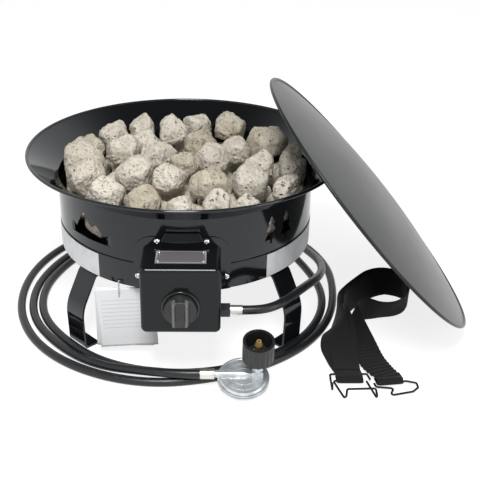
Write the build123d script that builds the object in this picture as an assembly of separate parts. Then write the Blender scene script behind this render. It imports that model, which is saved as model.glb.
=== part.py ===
from build123d import *
import math
import os

import numpy as np

# Portable gas fire bowl with its lava rocks, hose, regulator, lid and carrying straps.
# Origin on the floor under the bowl's axis, +Z up, control box towards -Y, millimetres.

os.makedirs("parts", exist_ok=True)

# General fits and finishes
sheet = 1.2                     # pressed steel of the bowl
fit_gap = 0.3                   # clearance between neighbouring pieces
running_gap = 0.5               # clearance round a piece that turns or slides
overrun = 3.0                   # how far a cut runs past what it cuts

# Bowl
rim_radius = 241.3              # 19 inch rim
rim_height = 263.0
rim_bead_radius = 2.4
flare_drop = 34.0
wall_radius = 196.0
seam_height = 158.0
seam_gap = 3.0
base_height = 118.0

# Cut-outs in the wall, as shares of their own width and height
peaks_width = 104.0
peaks_height = 40.0
peaks_base = 173.0
peaks_shares = [(-0.5, 0), (-0.36, 0.42), (-0.27, 0.3), (-0.1, 1), (0.06, 0.5), (0.16, 0.66), (0.3, 0.3),
                (0.38, 0.4), (0.5, 0)]
fir_width = 25.0
fir_height = 43.0
fir_base = 172.0
fir_pitch = 31.0
fir_half_shares = [(0.08, 0), (0.08, 0.14), (0.5, 0.14), (0.22, 0.44), (0.4, 0.44), (0.16, 0.72), (0.28, 0.72),
                   (0, 1)]
fir_shares = fir_half_shares + [(-x, z) for x, z in fir_half_shares[-2::-1]]
peaks_angle = 226.5
firs_angle = 314.5

# Fire pan and burner
pan_floor_height = 148.0
pan_wall_height = 24.0
burner_ring_radius = 112.0
burner_tube_radius = 8.0
burner_tube_wall = 1.5
burner_port_radius = 1.2
burner_port_count = 24
mixer_radius = 7.0
mixer_bore_radius = 5.6
mixer_bend_radius = 14.0
locknut_width = 24.0
locknut_height = 4.0

# Control box and its bracket
box_width = 108.0
box_height = 99.0
box_bottom_height = 90.0
box_projection = 64.2           # from the bracket to the front
box_sheet = 1.5
box_edge_radius = 8.0
box_front_radius = 6.0
box_tab_width = 57.0
box_tab_height = 21.0
box_tab_corner = 7.0
bracket_sheet = 1.5
bracket_side = 14.0             # beside the box
bracket_top_height = 202.5
bracket_corner_radius = 30.0
upper_screw_spread = 67.4
upper_screw_drop = 6.5          # below the bracket's top
lower_screw_side = 8.0          # beside the box
lower_screw_rise = 20.0         # above the pan's floor
screw_radius = 2.4
screw_head_radius = 4.4
screw_head_height = 2.8
screw_length = 7.0
nameplate_width = 68.0
nameplate_depth = 34.0
nameplate_thickness = 0.8
nameplate_setback = 13.0
rivet_radius = 1.9
rivet_height = 1.0
rivet_inset = 4.0

# Knob and valve
knob_height = 131.0
knob_radius = 22.0
knob_skirt_depth = 8.0
knob_grip_width = 19.0
knob_grip_depth = 13.0
knob_push = 3.0
bezel_radius = 26.0
bezel_depth = 4.0
stem_radius = 3.0
stem_length = 40.0
collar_radius = 7.0
collar_thickness = 2.0
spring_wire_radius = 0.6
spring_turns = 4
valve_width = 26.0
valve_depth = 24.0
valve_height = 26.0
orifice_radius = 4.4
orifice_entry = 15.0            # into the mixer tube
inlet_pipe_radius = 4.0
inlet_bend_radius = 9.0
outlet_height = 106.0
outlet_setback = 36.0           # behind the box's front

# Legs
leg_width = 39.0
leg_thickness = 3.0
leg_reach = 219.6
leg_knee_reach = 221.6
leg_knee_height = 64.0
leg_shoulder_reach = 193.0
leg_flange_inner = 142.0
leg_foot_length = 24.0
leg_bend_radius = 12.0
leg_bow_radius = 60.0
leg_foot_bend = 5.0
leg_bolt_radius = 2.9
leg_bolt_head_radius = 5.2
leg_bolt_head_height = 3.0
leg_bolt_pitch = 24.0
leg_bolt_inset = 10.0
spacer_radius = 6.0
leg_nut_width = 10.0
leg_nut_height = 4.5
leg_angles = {"front_left": 223.5, "front_right": 317.5, "rear_left": 135.0, "rear_right": 45.0}

# Hose, its ferrules and the regulator
hose_radius = 6.5
hose_nut_width = 19.0
hose_nut_length = 13.0
ferrule_radius = 7.2
inlet_ferrule_length = 17.0
regulator_ferrule_length = 20.0
ferrule_bore_radius = 3.0
regulator_lean = 13.0           # degrees towards the front
regulator_x = 86.4
regulator_y = -257.8
regulator_radius = 36.3
regulator_dish_radius = 18.0
regulator_dish_depth = 8.0
regulator_flange = 3.0
regulator_wall = 2.0
diaphragm_thickness = 1.2
cover_height = 4.0
cover_lip = 2.5
cover_top_radius = 33.0
cover_ring_radii = (25.0, 16.0)
cover_ring_width = 1.6
cover_ring_height = 0.8
port_rise = 1.2                 # from the cover's top to the middle of the port
port_radius = 5.0
port_length = 2.8
barb_radius = 4.6
barb_length = 1.4
neck_x = 19.2
neck_y = 3.0
neck_radius = 8.0
neck_block_height = 14.0
nut_bottom = 51.0
nut_height = 33.0
nut_radius = 22.0
nut_bore_radius = 18.0
nut_bore_depth = 26.0
nut_flute_radius = 4.0
nut_flute_count = 18
nut_flute_depth = 0.9
nipple_radius = 5.4
nipple_tip_radius = 3.4
nipple_shoulder_radius = 8.6
nipple_shoulder = 3.0
nipple_length = 22.4
nipple_bore_radius = 1.6
groove_share = 0.62             # of the nipple's length
seal_radius = 0.9
coil_wire_radius = 0.7
coil_radius = 8.0
coil_turns = 3

# The hose's way: offsets from the box, then a radius and a height at every step of the angle
hose_lead = 26.0
hose_departure = [(21.0, 0, 0), (42.0, 7.0, 0.5), (60.0, 22.0, 1.0)]
hose_first_angle = -40.0
hose_step = 20.0
hose_turns = [
    (226, 97), (222, 79), (219, 60), (218, 43), (232, 31.5), (232, 25.5), (229.5, 20), (229, 13.5),
    (230, 8.5), (232, 6.5), (229, 6.5), (234, 6.5), (236, 6.5), (231.5, 6.5), (236.5, 6.5), (236, 6.5), (235, 6.5),
    (230.3, 6.5), (229.5, 6.5), (226.5, 6.5), (223, 6.5), (218, 6.5), (231, 6.5), (246, 6.5), (262, 6.5), (273, 6.5),
    (277, 6.5), (276.5, 6.5), (272.5, 6.5), (268.5, 6.5), (269, 6.5), (270, 6.5), (267, 6.5), (262, 6.5), (249, 6.5),
    (244, 6.5), (243, 6.5), (241, 6.5), (242, 6.5), (257, 6.5), (270, 7.5), (270.5, 14), (266.5, 21.5), (256.5, 18.5),
    (249.5, 9), (247, 6.5), (245.5, 6.5), (249, 6.5), (251.5, 6.5), (247, 6.5), (250.3, 9), (249, 18.5),
]
bend_share = 0.45                # of the shorter run at a corner

# Lid, leaning on the rim with its lower edge on the floor
lid_radius = 242.0
lid_rise = 23.5
lid_sheet = 1.4
lid_bead_radius = 2.6
lid_axis_elevation = 42.0       # degrees above level
lid_axis_turn = 0.0             # degrees from +X towards +Y
lid_side_shift = -15.0

# Carrying straps and their wire hooks
strap_width = 38.0
strap_thickness = 2.4
strap_left_x = 238.5
strap_left_y = -250.0
strap_left_turn = 1.0
strap_left_length = 146.0
strap_right_x = 295.0
strap_right_y = -253.6
strap_right_turn = 7.0
strap_right_length = 150.0
strap_lift = 15.0
hem_radius = 4.2
hook_wire_radius = 1.5
hook_reach = 40.0
hook_bend_radius = 3.0
second_hem_setback = 16.0

# Hang tag on its tie
tag_width = 84.0
tag_height = 98.0
tag_sheet = 0.5
tag_tilt = -3.5
tag_hole_radius = 2.4
tag_hole_drop = 11.0
tag_x = -91.0
tag_plane_reach = 177.0
tag_hole_shift = -7.0
tag_back_turn = 4.0
tie_radius = 0.7
tie_bead_radius = 1.3
tie_bead_count = 6
tie_hole_rise = 5.5
tie_hole_radius = 1.6

# Blank foil labels on the lower band
label_thickness = 0.4
label_margin = 1.2
label_near_angle = 38.0
label_far_angle = 88.0

# Lava rocks
rock_size = 33.0                # half the width of an ordinary rock
rock_gap = 0.4
rock_facets = 15
rock_seed = 7
rock_wall_margin = 2.0
rock_wall_turns = (-12, -6, 0, 6, 12)
rock_stretch_share = 0.16
rock_reach_share = 0.88
rock_neighbour_share = 1.5
facet_turn_share = 0.18
# Top stones: place over the wall's radius, then lift and size over the rock size
top_rock_shares = [
    (-0.83, 0.02, 0.0, 1.22), (-0.74, -0.33, -0.1, 1.1), (-0.62, 0.59, 0.0, 0.98), (-0.5, 0.19, 0.12, 1.02),
    (-0.39, 0.69, 0.0, 0.96), (-0.15, 0.7, 0.05, 0.98), (-0.24, 0.1, 0.1, 0.96), (-0.38, -0.31, 0.08, 1.06),
    (-0.57, -0.58, -0.2, 1.04), (-0.28, -0.69, -0.22, 0.92), (-0.11, -0.38, 0.05, 0.98), (-0.01, -0.79, -0.28, 0.8),
    (0.08, 0.83, 0.0, 0.94), (0.1, 0.39, 0.1, 0.98), (0.35, 0.8, 0.0, 1.06), (0.67, 0.4, 0.0, 1.12),
    (0.4, 0.26, 0.05, 0.88), (0.2, 0.04, 0.1, 0.98), (0.59, -0.07, 0.0, 0.94), (0.83, -0.06, -0.1, 0.94),
    (0.5, -0.42, -0.06, 1.14), (0.77, -0.47, -0.2, 0.96), (0.19, -0.47, -0.02, 1.14), (0.26, -0.73, -0.3, 0.8),
    (0.45, -0.74, -0.3, 0.74), (0.0, -0.1, 0.1, 0.8), (-0.36, 0.4, 0.02, 0.86), (-0.8, 0.34, -0.2, 0.84),
    (0.62, 0.7, -0.3, 0.8), (0.86, 0.22, -0.35, 0.76),
]
top_rock_lift_share = 2.1        # of the rock size, over the burner
lower_rock_lift_share = 0.8
lower_rings = [(1, 0.0), (6, 0.29), (11, 0.57), (16, 0.83)]
lower_rock_share = 1.0
rock_flatness_share = 0.86

# Derived places
shell_bottom = seam_height + seam_gap / 2
band_top = seam_height - seam_gap / 2
flare_bottom = rim_height - flare_drop
wall_inner = wall_radius - sheet
pan_radius = wall_inner - fit_gap
pan_floor_top = pan_floor_height + sheet
base_floor_top = base_height + sheet
bracket_inner = wall_radius + fit_gap / 2
bracket_outer = bracket_inner + bracket_sheet
box_top_height = box_bottom_height + box_height
box_rear_radius = bracket_outer + fit_gap / 2
box_front_reach = box_rear_radius + box_projection
outlet_reach = box_front_reach - outlet_setback
tie_hole_height = base_height + tie_hole_rise
bracket_width = box_width + 2 * bracket_side
upper_screw_height = bracket_top_height - upper_screw_drop
lower_screw_spread = box_width + 2 * lower_screw_side
lower_screw_height = base_height + lower_screw_rise
burner_height = pan_floor_top + fit_gap + burner_tube_radius


def rod(radius, start, end):
    """A round bar between two points."""
    run = Vector(*end) - Vector(*start)
    return extrude(Plane(origin=start, z_dir=run) * Circle(radius), run.length)


def pipe(radius, bore, start, end):
    """A round bar with a bore right through it."""
    return rod(radius, start, end) - rod(bore, start, end)


def upright(radius, bottom, top, x=0, y=0):
    """A vertical round bar."""
    return rod(radius, (x, y, bottom), (x, y, top))


def turned(*outline):
    """A solid of revolution about Z from (radius, height) points."""
    return revolve(make_face(Polyline(*[(r, 0, z) for r, z in outline], close=True)), Axis.Z)


def hexagon(width, bottom, top):
    """A vertical hexagonal bar of a width across flats."""
    return Pos(0, 0, bottom) * extrude(RegularPolygon(width / 2, 6, major_radius=False), top - bottom)


def at_angle(angle, shape):
    """A shape built on the +X side, turned about the bowl's axis."""
    return Rot(0, 0, angle) * shape


def save(name, *solids):
    """Write one node as one STEP file."""
    shape = solids[0] if len(solids) == 1 else Compound(children=list(solids))
    shape.label = name
    export_step(shape, f"parts/{name}.step")


# Fasteners of the bracket: two through the upper wall and two through the lower band
def radial_place(spread, height):
    """The angle and height of a screw at a sideways spread on the wall."""
    return 270 + math.degrees(math.asin(spread / wall_radius)), height


screw_places = [radial_place(s * upper_screw_spread / 2, upper_screw_height) for s in (-1, 1)]
screw_places += [radial_place(s * lower_screw_spread / 2, lower_screw_height) for s in (-1, 1)]


def radial_rods(radius, start, end, places):
    """Round bars along the radius at each (angle, height)."""
    return [at_angle(a, rod(radius, (start, 0, z), (end, 0, z))) for a, z in places]


screw_holes = radial_rods(screw_radius + fit_gap, pan_radius - overrun, box_front_reach, screw_places)
leg_bolt_radii = [leg_flange_inner + leg_bolt_inset + k * leg_bolt_pitch for k in range(2)]
leg_bolt_places = [(a, r) for a in leg_angles.values() for r in leg_bolt_radii]


def at_leg_bolts(shape):
    """Copies of a shape on the Z axis at every leg bolt."""
    return [at_angle(a, Pos(r, 0, 0) * shape) for a, r in leg_bolt_places]


leg_bolt_holes = at_leg_bolts(upright(leg_bolt_radius + fit_gap, 0, rim_height))
gas_hole = rod(mixer_radius + overrun, (0, -box_front_reach, knob_height), (0, -pan_radius / 2, knob_height))
tie_hole = rod(tie_hole_radius, (tag_x, -wall_radius, tie_hole_height), (tag_x, -wall_radius / 2, tie_hole_height))

# Bowl: flared upper shell with its cut-outs, lower pan and fire pan
bead_centre = (rim_radius - rim_bead_radius, rim_height - rim_bead_radius)
flare_slope = math.atan2(bead_centre[0] - wall_radius, bead_centre[1] - flare_bottom)
flare_miter = sheet * math.tan(flare_slope / 2)
flare_in = (sheet * math.cos(flare_slope), sheet * math.sin(flare_slope))
shell_outline = make_face(Polyline(
    (wall_inner, shell_bottom),
    (wall_radius, shell_bottom),
    (wall_radius, flare_bottom),
    bead_centre,
    (bead_centre[0] - flare_in[0], bead_centre[1] + flare_in[1]),
    (wall_inner, flare_bottom + flare_miter),
    close=True,
))
shell_outline += Pos(*bead_centre) * Circle(rim_bead_radius)
shell = revolve(Plane.XZ * shell_outline, Axis.Z)

# Cut-outs: a row of peaks, and two fir trees


def window(angle, width, height, base, shares, shift=0):
    """A cutter through the wall with an outline drawn as shares of a width and a height."""
    points = [(wall_radius - 2 * rim_bead_radius, shift + x * width, base + z * height) for x, z in shares]
    face = make_face(Polyline(*points, close=True))
    return at_angle(angle, extrude(face, 2 * overrun + flare_drop, dir=(1, 0, 0)))


firs = [window(firs_angle, fir_width, fir_height, fir_base, fir_shares, s * fir_pitch / 2) for s in (-1, 1)]
peaks = window(peaks_angle, peaks_width, peaks_height, peaks_base, peaks_shares)
shell = shell - peaks - firs - screw_holes
save("upper_shell", shell)

base = turned(
    (0, base_height),
    (wall_radius, base_height),
    (wall_radius, band_top),
    (wall_inner, band_top),
    (wall_inner, base_floor_top),
    (0, base_floor_top),
)
base = base - screw_holes - leg_bolt_holes - gas_hole - tie_hole
save("base_pan", base)

riser_hole = upright(mixer_radius + fit_gap, pan_floor_height - overrun, pan_floor_top + overrun)
fire_pan = turned(
    (0, pan_floor_height),
    (pan_radius, pan_floor_height),
    (pan_radius, pan_floor_height + pan_wall_height),
    (pan_radius - sheet, pan_floor_height + pan_wall_height),
    (pan_radius - sheet, pan_floor_top),
    (0, pan_floor_top),
)
save("fire_pan", fire_pan - riser_hole - leg_bolt_holes)

# Burner: a ring with a cross tube, fed from below by the mixer tube
burner_bore = burner_tube_radius - burner_tube_wall
cross_start = (0, -burner_ring_radius, burner_height)
cross_end = (0, burner_ring_radius, burner_height)
burner = Pos(0, 0, burner_height) * Torus(burner_ring_radius, burner_tube_radius)
burner += rod(burner_tube_radius, cross_start, cross_end)
burner -= Pos(0, 0, burner_height) * Torus(burner_ring_radius, burner_bore)
burner -= rod(burner_bore, cross_start, cross_end)
burner -= upright(mixer_bore_radius, pan_floor_top, burner_height)
port_top = burner_height + burner_tube_radius + overrun
burner -= [
    at_angle((k + 1 / 2) * 360 / burner_port_count,
             upright(burner_port_radius, burner_height, port_top, x=burner_ring_radius))
    for k in range(burner_port_count)
]
mixer_start = -(wall_inner - fit_gap)
riser_top = pan_floor_top + fit_gap / 2
mixer_path = FilletPolyline((0, mixer_start, knob_height), (0, 0, knob_height), (0, 0, riser_top),
                            radius=mixer_bend_radius)
mixer_ring = Circle(mixer_radius) - Circle(mixer_bore_radius)
mixer = sweep(Plane(origin=mixer_path @ 0, z_dir=mixer_path % 0) * mixer_ring, mixer_path)
save("burner_ring", burner)
save("mixer_tube", mixer)
locknut_top = pan_floor_height - fit_gap / 2
locknut = hexagon(locknut_width, locknut_top - locknut_height, locknut_top)
save("burner_locknut", locknut - upright(mixer_radius + fit_gap / 2, base_height, rim_height))

# Legs bolted through the lower pan and the spacers into the fire pan
flange_height = base_height - leg_thickness / 2
leg_path = FilletPolyline(
    (leg_flange_inner, 0, flange_height),
    (leg_shoulder_reach, 0, flange_height),
    (leg_knee_reach, 0, leg_knee_height),
    (leg_reach, 0, leg_thickness / 2),
    (leg_reach - leg_foot_length, 0, leg_thickness / 2),
    radius=[leg_bend_radius, leg_bow_radius, leg_foot_bend],
)
leg_section = Plane(origin=leg_path @ 0, x_dir=(0, 1, 0), z_dir=leg_path % 0) * Rectangle(leg_width, leg_thickness)
leg_strip = sweep(leg_section, leg_path)
leg_strip -= [upright(leg_bolt_radius + fit_gap, leg_knee_height, rim_height, x=r) for r in leg_bolt_radii]
for side, angle in leg_angles.items():
    save(f"leg_{side}", at_angle(angle, leg_strip))

leg_bottom = base_height - leg_thickness
nut_top = pan_floor_top + leg_nut_height
bolt = upright(leg_bolt_head_radius, leg_bottom - leg_bolt_head_height, leg_bottom)
bolt += upright(leg_bolt_radius, leg_bottom, nut_top)
spacer = upright(spacer_radius, base_floor_top, pan_floor_height)
spacer -= upright(leg_bolt_radius + fit_gap, base_height, rim_height)
leg_nut = hexagon(leg_nut_width, pan_floor_top, nut_top) - upright(leg_bolt_radius + fit_gap / 2, base_height, rim_height)
save("leg_bolts", *at_leg_bolts(bolt))
save("pan_spacers", *at_leg_bolts(spacer))
save("leg_nuts", *at_leg_bolts(leg_nut))

# Bracket: an arched plate curved to the wall, with a tongue behind the box
bracket_ring = upright(bracket_outer, box_bottom_height, bracket_top_height)
bracket_ring -= upright(bracket_inner, box_bottom_height, bracket_top_height)
arch_height = bracket_top_height - base_height
arch = Pos(0, base_height + arch_height / 2) * Rectangle(bracket_width, arch_height)
arch = fillet(arch.vertices().group_by(Axis.Y)[-1], bracket_corner_radius)
tongue_width = box_width - 2 * box_sheet - 2 * fit_gap
tongue_bottom = box_bottom_height + box_sheet + fit_gap
tongue_height = base_height - tongue_bottom
arch += Pos(0, tongue_bottom + tongue_height / 2) * Rectangle(tongue_width, tongue_height)
bracket = bracket_ring & (Plane.XZ * extrude(arch, box_front_reach))
save("box_bracket", bracket - screw_holes - gas_hole)

screw = rod(screw_radius, (bracket_outer - screw_length, 0, 0), (bracket_outer, 0, 0))
screw_head = rod(screw_head_radius, (bracket_outer, 0, 0), (bracket_outer + screw_head_height, 0, 0))
screw += fillet(screw_head.edges().filter_by(GeomType.CIRCLE).group_by(Axis.X)[-1], screw_head_height / 2)
save("box_screws", *[at_angle(a, Pos(0, 0, z) * screw) for a, z in screw_places])

# Control box: a folded hood, open at the back, with a tab that lies on the bracket
box_middle = box_bottom_height + box_height / 2


def rounded_box(width, height, front, edge_radius, front_radius):
    """A box from the bowl's axis to the front, rounded along its length and round its front."""
    block = Pos(0, -front / 2, box_middle) * Box(width, front, height)
    block = fillet(block.edges().filter_by(Axis.Y), edge_radius)
    return fillet(block.faces().sort_by(Axis.Y)[0].edges(), front_radius)


hood = rounded_box(box_width, box_height, box_front_reach, box_edge_radius, box_front_radius)
hood -= rounded_box(box_width - 2 * box_sheet, box_height - 2 * box_sheet, box_front_reach - box_sheet,
                    box_edge_radius - box_sheet, box_front_radius - box_sheet)
hood -= upright(box_rear_radius, 0, rim_height)
hood -= Pos(0, 0, box_middle) * Box(box_width + overrun, 2 * bracket_inner * math.cos(math.radians(label_near_angle)),
                                    box_height + overrun)
tab_ring = upright(box_rear_radius + box_sheet, box_top_height - box_sheet, box_top_height + box_tab_height)
tab_ring -= upright(box_rear_radius, box_top_height - box_sheet, box_top_height + box_tab_height)
tab_outline = Pos(0, box_top_height - box_sheet + (box_tab_height + box_sheet) / 2) * Rectangle(
    box_tab_width, box_tab_height + box_sheet)
tab_outline = fillet(tab_outline.vertices().group_by(Axis.Y)[-1], box_tab_corner)
hood += tab_ring & (Plane.XZ * extrude(tab_outline, box_front_reach))
box_front = -box_front_reach
hood -= rod(stem_radius + running_gap, (0, box_front - overrun, knob_height), (0, box_front + overrun, knob_height))
outlet_wall = box_width / 2 - box_sheet
hood -= rod(inlet_pipe_radius + fit_gap, (outlet_wall - overrun, -outlet_reach, outlet_height),
            (box_width / 2 + overrun, -outlet_reach, outlet_height))
save("control_box", hood)

plate_y = -(box_rear_radius + nameplate_setback + nameplate_depth / 2)
nameplate = Pos(0, plate_y, box_top_height + nameplate_thickness / 2) * Box(
    nameplate_width, nameplate_depth, nameplate_thickness)
rivet_x = nameplate_width / 2 - rivet_inset
rivet_y = nameplate_depth / 2 - rivet_inset
plate_top = box_top_height + nameplate_thickness
rivets = [upright(rivet_radius, plate_top, plate_top + rivet_height, sx * rivet_x, plate_y + sy * rivet_y)
          for sx in (-1, 1) for sy in (-1, 1)]
save("nameplate", nameplate)
save("nameplate_rivets", *rivets)

# Knob, bezel and valve: the knob turns on the stem and pushes it back against the spring
bezel = rod(bezel_radius, (0, box_front, knob_height), (0, box_front - bezel_depth, knob_height))
bezel -= rod(knob_radius + running_gap, (0, box_front + overrun, knob_height),
             (0, box_front - bezel_depth - overrun, knob_height))
bezel = fillet(bezel.edges().filter_by(GeomType.CIRCLE).group_by(Axis.Y)[0], bezel_depth / 4)
save("knob_bezel", bezel)

knob_back = box_front - knob_push - running_gap
knob_face = knob_back - knob_skirt_depth
knob_front = knob_face - knob_grip_depth
knob = rod(knob_radius, (0, knob_back, knob_height), (0, knob_face, knob_height))
grip = Pos(0, (knob_face + knob_front) / 2, knob_height) * Box(knob_grip_width, knob_grip_depth, 2 * knob_radius)
grip &= rod(knob_radius - running_gap, (0, knob_face, knob_height), (0, knob_front, knob_height))
grip = fillet(grip.edges().filter_by(Axis.Z), knob_grip_width / 8)
knob += grip
stem_front = knob_face
stem_back = stem_front + stem_length
knob -= rod(stem_radius, (0, knob_back + overrun, knob_height), (0, stem_front, knob_height))
save("knob", knob)

stem = rod(stem_radius, (0, stem_front, knob_height), (0, stem_back, knob_height))
save("valve_stem", stem)
collar_y = box_front + box_sheet + fit_gap
collar_back = collar_y + collar_thickness
save("stem_collar", pipe(collar_radius, stem_radius + fit_gap / 2, (0, collar_y, knob_height),
                         (0, collar_back, knob_height)))
valve_front = stem_back - valve_depth / 2
valve_back = valve_front + valve_depth
valve = Pos(0, (valve_front + valve_back) / 2, knob_height) * Box(valve_width, valve_depth, valve_height)
valve -= rod(stem_radius + running_gap, (0, valve_front - overrun, knob_height),
             (0, stem_back + knob_push + running_gap, knob_height))
save("valve_body", valve)
spring_seat = valve_front - fit_gap
spring_height = spring_seat - collar_back - fit_gap - 2 * spring_wire_radius
spring_radius = (collar_radius + stem_radius) / 2
spring_path = Helix(pitch=spring_height / spring_turns, height=spring_height, radius=spring_radius)
spring = sweep(Plane(origin=spring_path @ 0, z_dir=spring_path % 0) * Circle(spring_wire_radius), spring_path)
spring_start = collar_back + fit_gap + spring_wire_radius
save("stem_spring", Pos(0, spring_start, knob_height) * Rot(-90, 0, 0) * spring)

orifice_end = mixer_start + orifice_entry
orifice = pipe(orifice_radius, ferrule_bore_radius / 2, (0, valve_back, knob_height), (0, orifice_end, knob_height))
save("orifice", orifice)
inlet_end = box_width / 2 + hose_nut_length
inlet_top = knob_height - valve_height / 2
inlet_path = FilletPolyline((0, -outlet_reach, inlet_top), (0, -outlet_reach, outlet_height),
                            (inlet_end, -outlet_reach, outlet_height), radius=inlet_bend_radius)
inlet_ring = Circle(inlet_pipe_radius) - Circle(ferrule_bore_radius)
save("inlet_pipe", sweep(Plane(origin=inlet_path @ 0, z_dir=inlet_path % 0) * inlet_ring, inlet_path))

# Hose nut and ferrule at the box
along_x = Pos(0, -outlet_reach, outlet_height) * Rot(0, 90, 0)
nut_start = box_width / 2 + fit_gap / 2
hose_nut = hexagon(hose_nut_width, nut_start, inlet_end)
hose_nut -= upright(inlet_pipe_radius + fit_gap / 2, nut_start - overrun, inlet_end + overrun)
save("hose_nut", along_x * hose_nut)
inlet_ferrule_end = inlet_end + inlet_ferrule_length
ferrule = upright(ferrule_radius, inlet_end, inlet_ferrule_end)
ferrule -= upright(ferrule_bore_radius, inlet_end - overrun, inlet_ferrule_end + overrun)
save("inlet_ferrule", along_x * ferrule)

# Regulator, built level on its own axis and then leaned over
lean = math.radians(regulator_lean)
regulator_z = regulator_dish_radius * math.sin(lean)
regulator_plane = Plane(origin=(regulator_x, regulator_y, regulator_z), x_dir=(1, 0, 0),
                        z_dir=(0, -math.sin(lean), math.cos(lean)))
on_regulator = Location(regulator_plane)
flange_bottom = regulator_dish_depth
flange_top = flange_bottom + regulator_flange
dish = turned(
    (0, 0),
    (regulator_dish_radius, 0),
    (regulator_dish_radius + regulator_flange, flange_bottom),
    (regulator_radius, flange_bottom),
    (regulator_radius, flange_top),
    (regulator_dish_radius + regulator_wall, flange_top),
    (regulator_dish_radius - regulator_wall, regulator_wall),
    (0, regulator_wall),
)
save("regulator_base", on_regulator * dish)
cover_bottom = flange_top + diaphragm_thickness
save("regulator_diaphragm", on_regulator * upright(regulator_radius - regulator_wall, flange_top, cover_bottom))
coil_bottom = regulator_wall + coil_wire_radius + fit_gap
coil_height = flange_top - fit_gap - coil_wire_radius - coil_bottom
coil_path = Helix(pitch=coil_height / coil_turns, height=coil_height, radius=coil_radius)
coil = sweep(Plane(origin=coil_path @ 0, z_dir=coil_path % 0) * Circle(coil_wire_radius), coil_path)
save("regulator_spring", on_regulator * Pos(0, 0, coil_bottom) * coil)

cover_top = cover_bottom + cover_height
lip_top = cover_bottom + cover_lip
cover = turned(
    (0, cover_bottom + regulator_wall),
    (cover_top_radius - regulator_wall, cover_bottom + regulator_wall),
    (cover_top_radius, cover_bottom),
    (regulator_radius, cover_bottom),
    (regulator_radius, lip_top),
    (regulator_radius - regulator_wall, lip_top),
    (cover_top_radius, cover_top - regulator_wall),
    (cover_top_radius - regulator_wall, cover_top),
    (0, cover_top),
)
port_end = -regulator_radius - port_length
port_z = cover_top + port_rise
neck_bottom = cover_bottom + regulator_wall
neck_top = nut_bottom - fit_gap
ring_top = cover_top + cover_ring_height
for radius in cover_ring_radii:
    cover += upright(radius, cover_top - cover_ring_height, ring_top) - upright(
        radius - cover_ring_width, cover_top - cover_ring_height, ring_top)
cover += rod(port_radius, (port_end, neck_y, port_z), (neck_x, neck_y, port_z))
cover += Pos(neck_x, neck_y, neck_bottom + neck_block_height / 2) * Box(2 * neck_radius, 2 * neck_radius, neck_block_height)
cover += upright(neck_radius, neck_bottom, neck_top, neck_x, neck_y)
cover -= upright(nipple_bore_radius, port_z, neck_top + overrun, neck_x, neck_y)
save("regulator_cover", on_regulator * cover)

barb_end = port_end - barb_length
save("outlet_barb", on_regulator * rod(barb_radius, (barb_end, neck_y, port_z), (port_end, neck_y, port_z)))
reg_ferrule_end = barb_end - regulator_ferrule_length
reg_ferrule = rod(ferrule_radius, (reg_ferrule_end, neck_y, port_z), (barb_end, neck_y, port_z))
save("regulator_ferrule", on_regulator * reg_ferrule)

on_neck = on_regulator * Pos(neck_x, neck_y, 0)
nut_top_level = nut_bottom + nut_height
nut_floor = nut_top_level - nut_bore_depth
shank_radius = nipple_radius
coupling = upright(nut_radius, nut_bottom, nut_top_level)
coupling -= upright(nut_bore_radius, nut_floor, nut_top_level + overrun)
coupling -= upright(shank_radius + fit_gap, nut_bottom - overrun, nut_top_level)
flute_reach = nut_radius + nut_flute_radius - nut_flute_depth
coupling -= [at_angle(k * 360 / nut_flute_count,
                      upright(nut_flute_radius, nut_bottom - overrun, nut_top_level - overrun, x=flute_reach))
             for k in range(nut_flute_count)]
save("coupling_nut", on_neck * coupling)

shoulder_bottom = nut_floor + fit_gap
shoulder_top = shoulder_bottom + nipple_shoulder
tip_top = shoulder_top + nipple_length
groove = shoulder_top + nipple_length * groove_share
nipple = turned(
    (nipple_bore_radius, neck_top),
    (shank_radius, neck_top),
    (shank_radius, shoulder_bottom),
    (nipple_shoulder_radius, shoulder_bottom),
    (nipple_shoulder_radius, shoulder_top),
    (nipple_radius, shoulder_top),
    (nipple_radius, groove - 2 * seal_radius),
    (nipple_radius - seal_radius, groove - seal_radius),
    (nipple_radius - seal_radius, groove + seal_radius),
    (nipple_radius, groove + 2 * seal_radius),
    (nipple_tip_radius, tip_top),
    (nipple_bore_radius, tip_top),
)
save("inlet_nipple", on_neck * nipple)
save("nipple_seal", on_neck * Pos(0, 0, groove) * Torus(nipple_radius + fit_gap / 2, seal_radius))

# Hose: three turns round the legs, from the box to the regulator
hose_start = Vector(inlet_ferrule_end, -outlet_reach, outlet_height)
hose_end = (on_regulator * Pos(reg_ferrule_end, neck_y, port_z)).position
corner_reach = 1 / math.cos(math.radians(hose_step / 2))
hose_route = [hose_start] + [hose_start + Vector(*offset) for offset in hose_departure]
for k, (radius, height) in enumerate(hose_turns):
    angle = math.radians(hose_first_angle + k * hose_step)
    hose_route.append(Vector(corner_reach * radius * math.cos(angle), corner_reach * radius * math.sin(angle), height))
hose_route += [hose_end - Vector(hose_lead, 0, 0), hose_end]


def cord_radii(route):
    """The largest arc that each corner's two runs allow."""
    radii = []
    for before, here, after in zip(route, route[1:], route[2:]):
        turn = math.radians((here - before).get_angle(after - here))
        radii.append(bend_share * min((here - before).length, (after - here).length) / math.tan(turn / 2))
    return radii


hose_radii = cord_radii(hose_route)
hose_path = FilletPolyline(*hose_route, radius=hose_radii)
hose = sweep(Plane(origin=hose_path @ 0, z_dir=hose_path % 0) * Circle(hose_radius), hose_path)
save("gas_hose", hose)


def least_self_gap(path, radius):
    """The least gap between turns of one tube, on points a diameter apart."""
    count = int(path.length / (2 * radius))
    points = np.array([tuple(path @ (k / count)) for k in range(count + 1)])
    apart = np.abs(np.subtract.outer(np.arange(count + 1), np.arange(count + 1))) > 2 * rock_facets
    lengths = np.linalg.norm(points[:, None] - points[None], axis=2)
    return float(lengths[apart].min() - 2 * radius)


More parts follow.
